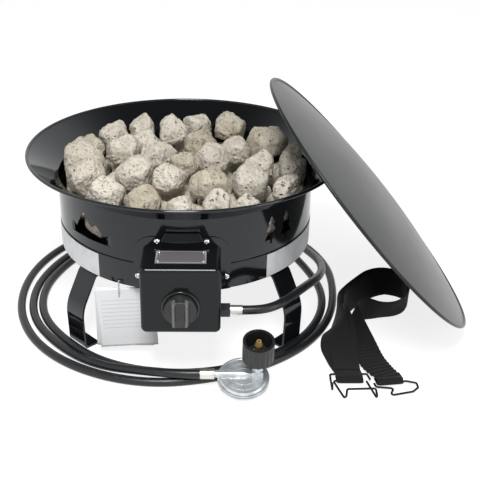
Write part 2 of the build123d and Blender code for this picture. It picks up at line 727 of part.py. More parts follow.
hose_section = math.pi * hose_radius ** 2
print(f"hose length {hose_path.length:.0f} mm, least radius {min(hose_radii):.0f} mm")
print(f"hose volume against section times length {hose.volume / (hose_section * hose_path.length):.4f}")
print(f"hose least gap to itself {least_self_gap(hose_path, hose_radius):.2f} mm")

# Lid: a shallow dome with a rolled edge, leaning on the rim
lid_elevation = math.radians(lid_axis_elevation)
lid_turn = math.radians(lid_axis_turn)
lid_axis = Vector(math.cos(lid_elevation) * math.cos(lid_turn), math.cos(lid_elevation) * math.sin(lid_turn),
                  math.sin(lid_elevation))
dome_radius = (lid_radius ** 2 + lid_rise ** 2) / (2 * lid_rise)
dome_sink = dome_radius - lid_rise
lid_height = (lid_radius - lid_bead_radius / 2) * math.cos(lid_elevation) + lid_bead_radius
centre_height = lid_height - dome_sink * math.sin(lid_elevation)
inside = dome_radius - lid_sheet - rim_bead_radius - fit_gap
rim_room = math.sqrt(inside ** 2 - (bead_centre[1] - centre_height) ** 2) - bead_centre[0]
lid_away = dome_sink * math.cos(lid_elevation) - math.sqrt(rim_room ** 2 - lid_side_shift ** 2)
lid_centre = (
    lid_away * math.cos(lid_turn) - lid_side_shift * math.sin(lid_turn),
    lid_away * math.sin(lid_turn) + lid_side_shift * math.cos(lid_turn),
    lid_height,
)
on_lid = Location(Plane(origin=lid_centre, z_dir=lid_axis))
dome = Pos(0, 0, -dome_sink) * (Sphere(dome_radius) - Sphere(dome_radius - lid_sheet))
dome &= upright(lid_radius, 0, 2 * lid_rise)
dome += Torus(lid_radius - lid_bead_radius / 2, lid_bead_radius)
save("lid", on_lid * dome)

# Straps: two webbing ends that lie on the floor and a loop of webbing that stands on edge
on_left = Location((strap_left_x, strap_left_y, 0), (0, 0, strap_left_turn))
on_right = Location((strap_right_x, strap_right_y, 0), (0, 0, strap_right_turn))
strap_rise_shares = [(0, 0), (0.3, 0.04), (0.62, 0.6), (1, 1)]
hem_height = hem_radius


def webbing_end(place, length, hems):
    """One end of the webbing: a strip that rises to the back, with a hem round each hook's bar."""
    points = [(0, y * length, hem_height + z * strap_lift) for y, z in strap_rise_shares]
    line = FilletPolyline(*points, radius=length / len(strap_rise_shares))
    section = Plane(origin=line @ 0, x_dir=(1, 0, 0), z_dir=line % 0) * Rectangle(strap_width, strap_thickness)
    half = strap_width / 2
    strip = sweep(section, line)
    strip += [rod(hem_radius, (-half, y, hem_height), (half, y, hem_height)) for y in hems]
    bar_room = hook_wire_radius + running_gap
    strip -= [rod(bar_room, (-strap_width, y, hem_height), (strap_width, y, hem_height)) for y in hems]
    return place * strip


save("strap_left", webbing_end(on_left, strap_left_length, (0, second_hem_setback)))
save("strap_right", webbing_end(on_right, strap_right_length, (0,)))
loop_start = (on_left * Pos(0, strap_left_length + fit_gap, 0)).position
loop_finish = (on_right * Pos(0, strap_right_length + fit_gap, 0)).position
loop_span = 95.0
loop_shares = [(0.12, 0.36), (0.46, 0.86), (0.88, 1.26), (1.22, 1.14), (1.36, 0.8), (1.2, 0.42), (0.84, 0.3),
               (0.56, 0.3)]
loop_points = [(loop_start.X, loop_start.Y)]
loop_points += [(loop_start.X + x * loop_span, loop_start.Y + y * loop_span) for x, y in loop_shares]
loop_points += [(loop_finish.X, loop_finish.Y)]
loop_line = FilletPolyline(*loop_points, radius=loop_span / 9)
loop_face = trace(loop_line, strap_thickness)
save("strap_loop", extrude(loop_face, strap_width))


def wire_hook(place, outline_shares):
    """A bent wire hook, drawn as shares of half the webbing's width, the hook's reach and the hem's height."""
    points = [Vector(x * strap_width / 2, y * hook_reach, z * hem_height) for x, y, z in outline_shares]
    line = FilletPolyline(*points, radius=[min(hook_bend_radius, r) for r in cord_radii(points)])
    return place * sweep(Plane(origin=line @ 0, z_dir=line % 0) * Circle(hook_wire_radius), line)


open_hook_shares = [(-0.75, 0, 1), (1.28, 0, 1), (1.98, -0.12, 0.8), (1.95, -0.37, 0.7), (1.42, -0.57, 0.6),
                    (-0.4, -0.68, 0.5), (0.1, -0.32, 0.7), (-1.16, -0.2, 0.9), (-1.22, 0, 1)]
pronged_hook_shares = [(0.75, 0, 1), (-1.26, 0, 1), (-0.62, -1.05, 0.45), (-0.44, -0.66, 2.2), (1.68, -0.64, 2.2),
                       (1.74, -1.08, 0.45), (1.24, -0.04, 1)]
setback_share = second_hem_setback / hook_reach
wide_hook_shares = [(-1.42, -0.25, 1.9), (-1.46, -0.58, 0.45), (-1.4, setback_share, 1), (1.42, setback_share, 1),
                    (1.5, -0.02, 1.6)]
save("hook_right", wire_hook(on_right, open_hook_shares))
save("hook_front", wire_hook(on_left, pronged_hook_shares))
save("hook_left", wire_hook(on_left, wide_hook_shares))

# Hang tag: two sheets behind one another on a tie through the lower band
on_tag = Pos(tag_x, -tag_plane_reach, 0)
tag_hole_height = tie_hole_height - 2 * tag_hole_drop
tag_centre = tag_hole_height + tag_hole_drop - tag_height / 2
wall_at_tag = math.sqrt(wall_inner ** 2 - tag_x ** 2)


def tag_sheet_at(offset, tilt):
    """A sheet with a hole, turned about that hole."""
    card = Pos(-tag_hole_shift, offset, tag_centre) * Box(tag_width, tag_sheet, tag_height)
    card -= rod(tag_hole_radius, (0, -tag_height, tag_hole_height), (0, tag_height, tag_hole_height))
    return on_tag * Pos(0, 0, tag_hole_height) * Rot(0, tilt, 0) * Pos(0, 0, -tag_hole_height) * card


save("hang_tag", tag_sheet_at(-tag_sheet, tag_tilt))
save("tag_back_sheet", tag_sheet_at(tag_sheet, tag_tilt + tag_back_turn))
tie_out = -tie_bead_radius - 2 * tag_sheet - fit_gap
tie_in = tag_plane_reach - wall_at_tag + tie_bead_radius
tie_path = FilletPolyline((0, tie_in, tie_hole_height), (0, tie_out, tie_hole_height), (0, tie_out, tag_hole_height),
                          (0, -tie_out, tag_hole_height), radius=tie_bead_radius)
tie = sweep(Plane(origin=tie_path @ 0, z_dir=tie_path % 0) * Circle(tie_radius), tie_path)
bead_step = (tie_hole_height - tag_hole_height) / tie_bead_count
tie += [Pos(0, tie_out, tag_hole_height + (k + 1 / 2) * bead_step) * Sphere(tie_bead_radius)
        for k in range(tie_bead_count)]
save("tag_tie", on_tag * tie)

# Blank labels wrapped on the lower band
label_bottom = base_height + label_margin
label_top = band_top - label_margin


def label(first, last):
    """A thin foil on the band between two angles."""
    section = Plane.XZ * Pos(wall_radius + fit_gap / 4 + label_thickness / 2, (label_bottom + label_top) / 2) * Rectangle(
        label_thickness, label_top - label_bottom)
    return at_angle(first, revolve(section, Axis.Z, last - first))


save("label_left", label(270 - label_far_angle, 270 - label_near_angle))
save("label_right", label(270 + label_near_angle, 270 + label_far_angle))

# Lava rocks: convex faceted stones that keep a gap to each other and to the pan
rock_draw = np.random.default_rng(rock_seed)
rock_floor = burner_height + burner_tube_radius + fit_gap
top_rock_height = rock_floor + top_rock_lift_share * rock_size
lower_rock_height = rock_floor + lower_rock_lift_share * rock_size
rock_wall = pan_radius - sheet - rock_wall_margin


def clip(faces, normal, reach):
    """Cut a convex solid, held as rings of corners, by a plane and close the cut."""
    kept, cut = [], []
    for face in faces:
        side = face @ normal - reach
        ring = []
        for k in range(len(face)):
            here, after = face[k], face[(k + 1) % len(face)]
            a, b = side[k], side[(k + 1) % len(face)]
            if a <= 0:
                ring.append(here)
            if a * b < 0:
                ring.append(here + (after - here) * a / (a - b))
                cut.append(ring[-1])
        if len(ring) > 2:
            kept.append(np.array(ring))
    if len(cut) > 2:
        cut = np.array(cut)
        middle = cut.mean(axis=0)
        across = (cut[0] - middle) / np.linalg.norm(cut[0] - middle)
        up = np.cross(normal, across)
        order = np.argsort(np.arctan2((cut - middle) @ up, (cut - middle) @ across))
        kept.append(cut[order][::2])
    return kept


def facet_normals(count, draw):
    """Directions spread over a sphere, each turned a little at random."""
    k = np.arange(count) + 1 / 2
    z = 1 - 2 * k / count
    turn = math.pi * (1 + math.sqrt(5)) * k
    flat = np.sqrt(1 - z ** 2)
    normals = np.stack([flat * np.cos(turn), flat * np.sin(turn), z], axis=1)
    normals = normals + draw.normal(0, facet_turn_share, normals.shape)
    return normals / np.linalg.norm(normals, axis=1)[:, None]


def rock_solid(faces):
    """A solid from rings of corners."""
    shell = Shell([Face(Wire.make_polygon([Vector(*p) for p in ring])) for ring in faces])
    return Solid(shell)


def rock_faces(k, centres, sizes):
    """The facets of one rock, cut back from its neighbours, the wall and the burner."""
    centre, size = centres[k], sizes[k]
    reach = 2 * size
    cube = np.array([(x, y, z) for x in (-1, 1) for y in (-1, 1) for z in (-1, 1)], float)
    sides = [(0, 1, 3, 2), (4, 6, 7, 5), (0, 4, 5, 1), (2, 3, 7, 6), (0, 2, 6, 4), (1, 5, 7, 3)]
    faces = [centre + reach * cube[list(side)] for side in sides]
    stretch = np.array([1 + rock_stretch_share * rock_draw.random(), 1, rock_flatness_share])
    turn = rock_draw.random() * math.pi
    yaw = np.array([(math.cos(turn), -math.sin(turn), 0), (math.sin(turn), math.cos(turn), 0), (0, 0, 1)])
    for normal in facet_normals(rock_facets, rock_draw):
        support = np.linalg.norm(stretch * (yaw.T @ normal))
        share = rock_reach_share + (1 - rock_reach_share) * rock_draw.random()
        faces = clip(faces, normal, centre @ normal + size * support * share)
    for j, other in enumerate(centres):
        between = other - centre
        apart = np.linalg.norm(between)
        if j != k and apart < rock_neighbour_share * (size + sizes[j]):
            normal = between / apart
            faces = clip(faces, normal, centre @ normal + apart * size / (size + sizes[j]) - rock_gap / 2)
    azimuth = math.atan2(centre[1], centre[0])
    for swing in rock_wall_turns:
        angle = azimuth + math.radians(swing)
        faces = clip(faces, np.array([math.cos(angle), math.sin(angle), 0]), rock_wall)
    return clip(faces, np.array([0, 0, -1.0]), -rock_floor)


top_centres = [(x * wall_radius, y * wall_radius, top_rock_height + lift * rock_size) for x, y, lift, _ in top_rock_shares]
top_sizes = [size * rock_size for *_, size in top_rock_shares]
lower_centres = [
    (share * wall_radius * math.cos(2 * math.pi * (k + ring / 3) / count),
     share * wall_radius * math.sin(2 * math.pi * (k + ring / 3) / count), lower_rock_height)
    for ring, (count, share) in enumerate(lower_rings) for k in range(count)
]
lower_sizes = [lower_rock_share * rock_size] * len(lower_centres)
centres = [np.array(c) for c in top_centres + lower_centres]
sizes = top_sizes + lower_sizes
stones = [rock_solid(rock_faces(k, centres, sizes)) for k in range(len(centres))]
save("lava_rocks_top", *stones[:len(top_centres)])
save("lava_rocks_lower", *stones[len(top_centres):])
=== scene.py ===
"""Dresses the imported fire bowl: enamel, lava rocks, gas hose, lid, straps, tag and a plain studio."""

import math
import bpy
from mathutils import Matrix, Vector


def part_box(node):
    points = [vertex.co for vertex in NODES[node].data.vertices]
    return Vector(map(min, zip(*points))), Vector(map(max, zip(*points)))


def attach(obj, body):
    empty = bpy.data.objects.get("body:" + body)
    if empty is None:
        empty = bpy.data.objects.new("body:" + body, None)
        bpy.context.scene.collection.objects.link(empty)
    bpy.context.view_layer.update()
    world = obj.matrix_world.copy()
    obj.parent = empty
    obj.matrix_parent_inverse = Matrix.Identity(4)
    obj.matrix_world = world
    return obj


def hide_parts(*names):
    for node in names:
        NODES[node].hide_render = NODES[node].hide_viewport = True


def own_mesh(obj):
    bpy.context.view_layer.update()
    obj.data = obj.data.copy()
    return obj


bl_info = {
    "name": "Fire Bowl Dresser",
    "version": (1, 0, 0),
    "blender": (4, 5, 0),
    "location": "View3D > Sidebar > Fire Bowl",
    "description": "Dresses the packed fire bowl and sets its stage",
    "category": "Object",
}

import bmesh
import bpy
import numpy as np
from bpy.props import FloatProperty, FloatVectorProperty, IntProperty, PointerProperty
from mathutils import Matrix, Vector, noise

MM = 0.001
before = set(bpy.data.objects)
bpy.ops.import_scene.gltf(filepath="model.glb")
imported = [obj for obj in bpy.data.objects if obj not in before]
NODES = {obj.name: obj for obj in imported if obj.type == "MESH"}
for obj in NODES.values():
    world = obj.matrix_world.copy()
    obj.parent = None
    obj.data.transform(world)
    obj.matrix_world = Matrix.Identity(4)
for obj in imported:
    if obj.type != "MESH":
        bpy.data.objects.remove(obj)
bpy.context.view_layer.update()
ZINC_PLATE = (0.5, 0.51, 0.52)


def middle(node):
    """The centre of a CAD node's box."""
    low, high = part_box(node)
    return (low + high) / 2


def colour_property(name, description, default):
    """A colour that the user may change."""
    return FloatVectorProperty(
        name=name, description=description, default=default, size=3, min=0, max=1, subtype="COLOR")


def length_property(name, description, default):
    """A length that the user may change."""
    return FloatProperty(name=name, description=description, default=default, unit="LENGTH")


def share_property(name, description, default):
    """A share between none and all."""
    return FloatProperty(name=name, description=description, default=default, min=0, max=1)


def angle_property(name, description, degrees):
    """An angle, given in degrees."""
    return FloatProperty(name=name, description=description, default=math.radians(degrees), unit="ROTATION")


class FinishSizes(bpy.types.PropertyGroup):
    """Colours of the painted, plated and moulded pieces."""

    enamel: colour_property("Enamel", "Gloss enamel of the bowl, legs and box", (0.006, 0.0065, 0.0075))
    lid_enamel: colour_property("Lid enamel", "Satin enamel of the lid", (0.012, 0.0125, 0.0135))
    zinc: colour_property("Zinc", "Die-cast regulator", (0.7, 0.74, 0.76))
    brass: colour_property("Brass", "Gas nipple and valve", (0.72, 0.47, 0.16))
    crimp: colour_property("Crimp", "Crimped hose ferrules", (0.72, 0.7, 0.66))
    plastic: colour_property("Plastic", "Hand nut and bezel", (0.012, 0.0125, 0.013))
    knob: colour_property("Knob", "Control knob", (0.018, 0.0185, 0.0185))
    foil: colour_property("Foil", "Blank labels on the lower band", (0.74, 0.76, 0.78))
    card: colour_property("Card", "Hang tag cards", (0.8, 0.81, 0.82))
    roughness: share_property("Enamel roughness", "Gloss of the enamel", 0.09)


class LidSizes(bpy.types.PropertyGroup):
    """Domed lid, as it leans on the rim."""

    radius: length_property("Radius", "Edge of the dome", 242 * MM)
    rise: length_property("Rise", "Height of the dome over its edge", 23.5 * MM)
    sheet: length_property("Sheet", "Thickness of the steel", 1.4 * MM)
    bead: length_property("Bead", "Radius of the rolled edge", 2.6 * MM)
    lean: angle_property("Lean", "Axis above level", 42)
    turn: angle_property("Turn", "Axis from X towards Y", 0)


class RockSizes(bpy.types.PropertyGroup):
    """Lava rocks."""

    stone: colour_property("Stone", "Main colour of the rocks", (0.81, 0.75, 0.645))
    # Painted shade for the dents, chips and pits, and also the colour of the dark grains.
    shade: colour_property("Shade", "Colour in the hollows", (0.27, 0.235, 0.185))
    rust: colour_property("Rust", "Warm stains on some rocks", (0.44, 0.37, 0.25))
    speck: colour_property("Speck", "Dark grains and pores", (0.085, 0.078, 0.07))
    sharpness: FloatProperty(
        name="Sharpness", description="How crisp the broken edges are", default=13.0, min=2, max=40)
    dent: length_property("Dent", "Depth of the broad dents", 2.6 * MM)
    chip: length_property("Chip", "Depth of the fine chips", 3.0 * MM)
    pit: length_property("Pit", "Depth of the round pits", 2.4 * MM)
    seed: IntProperty(name="Seed", description="Seed of the rock surfaces", default=5)


class HoseSizes(bpy.types.PropertyGroup):
    """Gas hose."""

    diameter: length_property("Diameter", "Outside of the hose", 13 * MM)
    length: length_property("Length", "Hose between its ferrules", 4.59)
    rubber: colour_property("Rubber", "Hose cover", (0.011, 0.012, 0.0135))


class StrapSizes(bpy.types.PropertyGroup):
    """Carrying strap and its wire hooks."""

    width: length_property("Width", "Width of the webbing", 43 * MM)
    thickness: length_property("Thickness", "Thickness of the webbing", 2.2 * MM)
    clear: length_property("Clear", "Least height over the floor", 0.2 * MM)
    hem: share_property("Hem", "Share by which a hem is narrower", 0.116)
    gather: length_property("Gather", "Height of the gathers", 0.9 * MM)
    gather_pitch: length_property("Gather pitch", "Length of one gather", 8 * MM)
    webbing: colour_property("Webbing", "Woven strap", (0.0048, 0.0048, 0.0056))
    wire: colour_property("Wire", "Hook wire", (0.03, 0.031, 0.031))


class StageSizes(bpy.types.PropertyGroup):
    """Camera, floor and light."""

    lens: FloatProperty(
        name="Lens", description="Focal length on a 36 mm sensor", default=64.83, unit="CAMERA")
    roll: angle_property("Roll", "Turn of the picture", 1.29)
    sky: FloatProperty(name="Sky", description="Even light from all round", default=0.4, min=0)
    ceiling: share_property("Ceiling", "White of the ceiling in reflections", 0.05)
    key: FloatProperty(name="Key", description="Power of the softbox", default=32.0, min=0, unit="POWER")
    floor: colour_property("Floor", "Pale floor as it lights things", (0.8, 0.8, 0.8))
    shaded_floor: colour_property("Shaded floor", "What the floor shows of its shade", (0.34, 0.34, 0.34))
    floor_glow: share_property("Floor glow", "White that the floor shows to the eye", 0.82)


class FireBowlSettings(bpy.types.PropertyGroup):
    """All settings of the fire bowl."""

    finish: PointerProperty(type=FinishSizes)
    lid: PointerProperty(type=LidSizes)
    rocks: PointerProperty(type=RockSizes)
    hose: PointerProperty(type=HoseSizes)
    strap: PointerProperty(type=StrapSizes)
    stage: PointerProperty(type=StageSizes)


class Link:
    """An output socket that takes part in Python sums."""

    def __init__(self, graph, socket):
        self.graph = graph
        self.socket = socket

    def maths(self, operation, *values):
        return self.graph.node(self.graph.maths_node, {"operation": operation}, values)

    def __add__(self, other):
        return self.maths("ADD", self, other)

    def __sub__(self, other):
        return self.maths("SUBTRACT", self, other)

    def __rsub__(self, other):
        return self.maths("SUBTRACT", other, self)

    def __mul__(self, other):
        return self.maths("MULTIPLY", self, other)

    def over(self, low, high):
        """0 below low, 1 above high, and smooth between them."""
        sockets = {"Value": self, "From Min": low, "From Max": high}
        return self.graph.node("ShaderNodeMapRange", {"interpolation_type": "SMOOTHSTEP"}, sockets)


class Graph:
    """A node tree that is filled by one method."""

    maths_node = "ShaderNodeMath"

    def __init__(self, tree):
        self.tree = tree
        self.tree.nodes.clear()

    def put(self, socket, value):
        if isinstance(value, Link):
            self.tree.links.new(value.socket, socket)
        elif value is not None:
            socket.default_value = value

    def node(self, kind, settings=None, sockets=None, out=0):
        """Adds a node and returns one output. Sockets are filled by name, or in order from a list."""
        made = self.tree.nodes.new(kind)
        for name, value in (settings or {}).items():
            setattr(made, name, value)
        pairs = sockets.items() if isinstance(sockets, dict) else enumerate(sockets or ())
        for name, value in pairs:
            self.put(made.inputs[name], value)
        return Link(self, made.outputs[out]) if made.outputs else None


class Finish(Graph):
    """A material with one Principled shader."""

    def __init__(self, name, **plain):
        self.material = bpy.data.materials.new(name)
        self.material.use_nodes = True
        super().__init__(self.material.node_tree)
        shader = self.node("ShaderNodeBsdfPrincipled")
        self.shader = shader.socket.node
        self.node("ShaderNodeOutputMaterial", sockets={"Surface": shader})
        self.set(**plain)

    def set(self, **values):
        """Fills the shader's sockets: base_color becomes Base Color."""
        for name, value in values.items():
            socket = self.shader.inputs[name.replace("_", " ").title().replace("Ior", "IOR")]
            if isinstance(value, (tuple, list)) and len(value) == 3:
                value = (*value, 1)
            self.put(socket, value)

    def place(self):
        return self.node("ShaderNodeTexCoord", out="Object")

    def uv(self):
        return self.node("ShaderNodeTexCoord", out="UV")

    def axis(self, vector, letter):
        return self.node("ShaderNodeSeparateXYZ", sockets=[vector], out=letter)

    def stretch(self, vector, scale):
        return self.node("ShaderNodeMapping", sockets={"Vector": vector, "Scale": scale})

    def cloud(self, vector, scale, detail=3, roughness=0.55):
        sockets = {"Vector": vector, "Scale": scale, "Detail": detail, "Roughness": roughness}
        return self.node("ShaderNodeTexNoise", sockets=sockets)

    def cells(self, vector, scale):
        return self.node("ShaderNodeTexVoronoi", sockets={"Vector": vector, "Scale": scale})

    def mix(self, share, first, second):
        """A colour between two colours."""
        made = self.tree.nodes.new("ShaderNodeMix")
        made.data_type = "RGBA"
        for socket, value in zip((made.inputs[0], made.inputs[6], made.inputs[7]), (share, first, second)):
            if isinstance(value, (tuple, list)) or hasattr(value, "hsv"):
                value = (*value[:3], 1)
            self.put(socket, value)
        return Link(self, made.outputs[2])

    def bump(self, height, strength, depth):
        sockets = {"Height": height, "Strength": strength, "Distance": depth}
        self.set(normal=self.node("ShaderNodeBump", sockets=sockets))
        return self


def toned(colour, share):
    """A colour made lighter or darker by a share."""
    return tuple(share * c for c in colour)


def enamel_finish(name, colour, roughness, peel=0.05, mirror=0.5):
    """Baked enamel: a little cloudy in its gloss, with a fine orange peel."""
    finish = Finish(name, specular_ior_level=mirror, specular_tint=(0.9, 0.96, 1, 1))
    place = finish.place()
    smear = finish.cloud(place, 14, 4)
    dust = finish.cloud(place, 420, 2).over(0.66, 0.78)
    finish.set(
        base_color=finish.mix(dust * 0.05, tuple(colour), (0.2, 0.2, 0.2)),
        roughness=smear * 0.09 + (roughness - 0.045) + dust * 0.04,
    )
    return finish.bump(finish.cloud(place, 260, 1), peel, 0.2 * MM).material


def metal_finish(name, colour, roughness, grain=(60, 60, 60), wear_and_highlight=0.12, metallic=1.0):
    """Plated or cast metal, mottled, with its grain stretched along an axis."""
    finish = Finish(name, metallic=metallic)
    place = finish.place()
    grain_cloud = finish.cloud(finish.stretch(place, grain), 8, 4)
    blotch = finish.cloud(place, 55, 3)
    finish.set(
        base_color=finish.mix(blotch.over(0.35, 0.75), tuple(colour), toned(colour, 0.62)),
        roughness=grain_cloud * wear_and_highlight + blotch * wear_and_highlight + (roughness - wear_and_highlight),
    )
    return finish.bump(grain_cloud, 0.08, 0.3 * MM).material


def plastic_finish(name, colour, roughness, grain=900, wear_and_highlight=0.0):
    """Moulded plastic with a fine spark-eroded texture and dusty handling marks, paler where a painted
    highlight is marked.
    """
    finish = Finish(name, specular_ior_level=0.45)
    place = finish.place()
    marks = finish.cloud(place, 70, 4)
    lighter = tuple(min(1, 1.9 * c + 0.006) for c in colour)
    tint = finish.mix(marks.over(0.5, 0.85), tuple(colour), lighter)
    # Painted highlight: pale grey is painted on the points marked for it, such as the knob's raised ridges.
    if wear_and_highlight:
        painted_highlight = finish.node("ShaderNodeAttribute", {"attribute_name": "wear_and_highlight"}, out="Fac")
        tint = finish.mix(painted_highlight * (marks * 0.3 + 0.7), tint, (wear_and_highlight, wear_and_highlight, 0.96 * wear_and_highlight))
    finish.set(base_color=tint, roughness=marks * 0.2 + (roughness - 0.1))
    return finish.bump(finish.cloud(place, grain, 2), 0.12, 0.15 * MM).material


def rubber_finish(colour):
    """Extruded hose cover: satin, scuffed along its length, with a faint lay of the braid below."""
    finish = Finish("hose rubber", specular_ior_level=0.42)
    along = finish.uv()
    place = finish.place()
    scuff = finish.cloud(place, 130, 4)
    bands = {"Vector": along, "Scale": 260, "Distortion": 0.4}
    lay = finish.node("ShaderNodeTexWave", {"bands_direction": "X"}, bands)
    finish.set(
        base_color=finish.mix(scuff.over(0.56, 0.82), tuple(colour), toned(colour, 3.2)),
        roughness=scuff * 0.2 + 0.24,
    )
    return finish.bump(lay * 0.25 + scuff * 0.5, 0.1, 0.25 * MM).material


def stone_finish(rocks):
    """Porous lava rock: cream, with dark grains, pores, a few warm stains, and painted shade in its dents and
    pits.
    """
    finish = Finish("lava stone", roughness=0.95, specular_ior_level=0.15)
    place = finish.place()
    tone = finish.node("ShaderNodeAttribute", {"attribute_name": "tone"}, out="Fac")
    hollow = finish.node("ShaderNodeAttribute", {"attribute_name": "hollow"}, out="Fac")
    broad = finish.cloud(place, 38, 5, 0.62)
    grit = finish.cloud(place, 520, 4, 0.7)
    pores = finish.cells(place, 250)
    wide_pores = finish.cells(finish.stretch(place, (1.0, 0.8, 1.25)), 95)
    gate = finish.cloud(place, 85, 3).over(0.4, 0.58)
    pore = (1 - pores.over(0.12, 0.34)) * gate
    wide_pore = (1 - wide_pores.over(0.1, 0.3)) * finish.cloud(place, 47, 2).over(0.5, 0.64)
    grains = finish.cloud(place, 640, 2).over(0.56, 0.66)
    chalk = finish.cloud(place, 210, 4, 0.7)
    colour = finish.mix(broad.over(0.35, 0.75) * 0.32, tuple(rocks.stone), toned(rocks.stone, 0.78))
    colour = finish.mix(chalk.over(0.5, 0.66) * 0.75, colour, tuple(min(0.9, 1.15 * c) for c in rocks.stone))
    stain = tone.over(0.72, 0.94) * (broad.over(0.35, 0.65) * 0.45 + 0.3)
    colour = finish.mix(stain, colour, tuple(rocks.rust))
    # Painted shade: the dents, chips and pits are darkened by how deep they are pressed in.
    colour = finish.mix(hollow * 0.6, colour, tuple(rocks.shade))
    # Dark grains: the stone's own colour, in the same tone as the painted shade.
    colour = finish.mix(grains * 0.45, colour, tuple(rocks.shade))
    colour = finish.mix(pore * 0.72, colour, tuple(rocks.speck))
    colour = finish.mix(wide_pore * 0.62, colour, tuple(rocks.speck))
    finish.set(base_color=colour)
    height = grit * 0.5 + broad * 0.6 - pore * 0.9 - wide_pore * 1.3
    return finish.bump(height + chalk * 1.1, 1.0, 3.0 * MM).material


def webbing_finish(colour):
    """Woven strap: twill ribs along the length, crossed by the weft, with paler fuzz in patches."""
    finish = Finish(
        "strap webbing", roughness=0.82, specular_ior_level=0.25, sheen_weight=0.12, sheen_roughness=0.5)
    along = finish.uv()
    across = finish.axis(along, "X")
    run = finish.axis(along, "Y")
    warp = (across * 900).maths("SINE", across * 2400)
    weft = (run * 1700 + across * 700).maths("SINE", run * 2100 + across * 900)
    fuzz = finish.cloud(finish.place(), 700, 4)
    finish.set(base_color=finish.mix(fuzz.over(0.45, 0.8) * 0.6, tuple(colour), toned(colour, 3.4)))
    return finish.bump(warp * 0.35 + weft * 0.35 + fuzz * 0.5, 0.5, 0.35 * MM).material


def card_finish(name, colour, ruled):
    """Stiff white card with soft creases. The front one carries plain ruled lines."""
    finish = Finish(name, roughness=0.6, specular_ior_level=0.3)
    place = finish.uv()
    fibre = finish.cloud(finish.place(), 300, 4)
    tint = finish.mix(fibre.over(0.4, 0.8) * 0.2, tuple(colour), toned(colour, 0.86))
    if ruled:
        height = finish.axis(place, "Y")
        across = finish.axis(place, "X")
        line = (height * 15).maths("FRACT", height * 15).over(0.72, 0.82)
        field = height.over(0.3, 0.31) * (1 - height.over(0.82, 0.83)) * across.over(0.08, 0.09)
        field = field * (1 - across.over(0.92, 0.93))
        tint = finish.mix(line * field * 0.4, tint, (0.42, 0.44, 0.46))
    finish.set(base_color=tint)
    return finish.bump(fibre, 0.15, 0.15 * MM).material


def foil_finish(colour):
    """Blank label foil, slightly wrinkled and smudged."""
    finish = Finish("label foil", specular_ior_level=0.5)
    place = finish.place()
    smudge = finish.cloud(place, 60, 5)
    spots = finish.cloud(place, 380, 3).over(0.62, 0.74)
    tint = finish.mix(smudge.over(0.4, 0.75) * 0.35, tuple(colour), toned(colour, 0.7))
    finish.set(
        base_color=finish.mix(spots * 0.25, tint, (0.32, 0.33, 0.35)),
        roughness=smudge * 0.3 + 0.22,
        metallic=0.05,
    )
    return finish.bump(smudge, 0.25, 0.6 * MM).material


def nameplate_finish():
    """Dark brushed plate with a bright border and nothing on it."""
    finish = Finish("nameplate metal", metallic=0.7)
    low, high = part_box("nameplate")
    place = finish.place()
    brushed = finish.cloud(finish.stretch(place, (12, 900, 900)), 3, 4)
    edge = 2.6 * MM
    inside = None
    for letter, k in (("X", 0), ("Y", 1)):
        value = finish.axis(place, letter)
        near = value.over(low[k] + 0.7 * edge, low[k] + edge)
        far = value.over(high[k] - edge, high[k] - 0.7 * edge)
        band = near * (1 - far)
        inside = band if inside is None else inside * band
    finish.set(
        base_color=finish.mix(inside * 0.85, (0.75, 0.75, 0.77), (0.3, 0.28, 0.32)),
        roughness=brushed * 0.25 + 0.25,
    )
    return finish.bump(brushed, 0.15, 0.1 * MM).material


def seen_rays(graph):
    """1 for rays from the camera, from gloss and through glass, and 0 for the rays that only light things."""
    path = graph.node("ShaderNodeLightPath", out="Is Camera Ray").socket.node
    seen = Link(graph, path.outputs["Is Camera Ray"])
    for ray in ("Is Glossy Ray", "Is Transmission Ray"):
        seen = seen.maths("MAXIMUM", seen, Link(graph, path.outputs[ray]))
    return seen


def dress(material, *names):
    """Gives a material to CAD nodes or to made objects."""
    for name in names:
        thing = NODES[name] if isinstance(name, str) else name
        thing.data.materials.clear()
        thing.data.materials.append(material)


def mesh_object(name, corners, faces, smooth=True):
    """A new object from points and faces, in place."""
    mesh = bpy.data.meshes.new(name)
    mesh.from_pydata([tuple(p) for p in corners], [], [tuple(f) for f in faces])
    mesh.validate()
    if smooth:
        mesh.shade_smooth()
    made = bpy.data.objects.new(name, mesh)
    bpy.context.scene.collection.objects.link(made)
    return made


def ring_faces(first, rows, around):
    """Four-sided faces between rings that have the same number of points."""
    faces = []
    for row in range(rows):
        a, b = first + row * around, first + (row + 1) * around
        faces += [(a + k, b + k, b + (k + 1) % around, a + (k + 1) % around) for k in range(around)]
    return faces


def fan_faces(tip, first, around):
    """Three-sided faces from one point to a ring of points."""
    return [(tip, first + k, first + (k + 1) % around) for k in range(around)]


def point_values(made, label, values):
    """Keeps one number for each point of an object, for its material to read."""
    field = made.data.attributes.new(label, "FLOAT", "POINT")
    field.data.foreach_set("value", values.astype(np.float32))


def face_outward(made):
    """Turns all faces of a closed mesh outward."""
    solid = bmesh.new()
    solid.from_mesh(made.data)
    bmesh.ops.recalc_face_normals(solid, faces=solid.faces)
    solid.to_mesh(made.data)
    solid.free()


def crease(made, degrees):
    """Keeps the edges that bend more than an angle crisp."""
    made.data.set_sharp_from_angle(angle=math.radians(degrees))


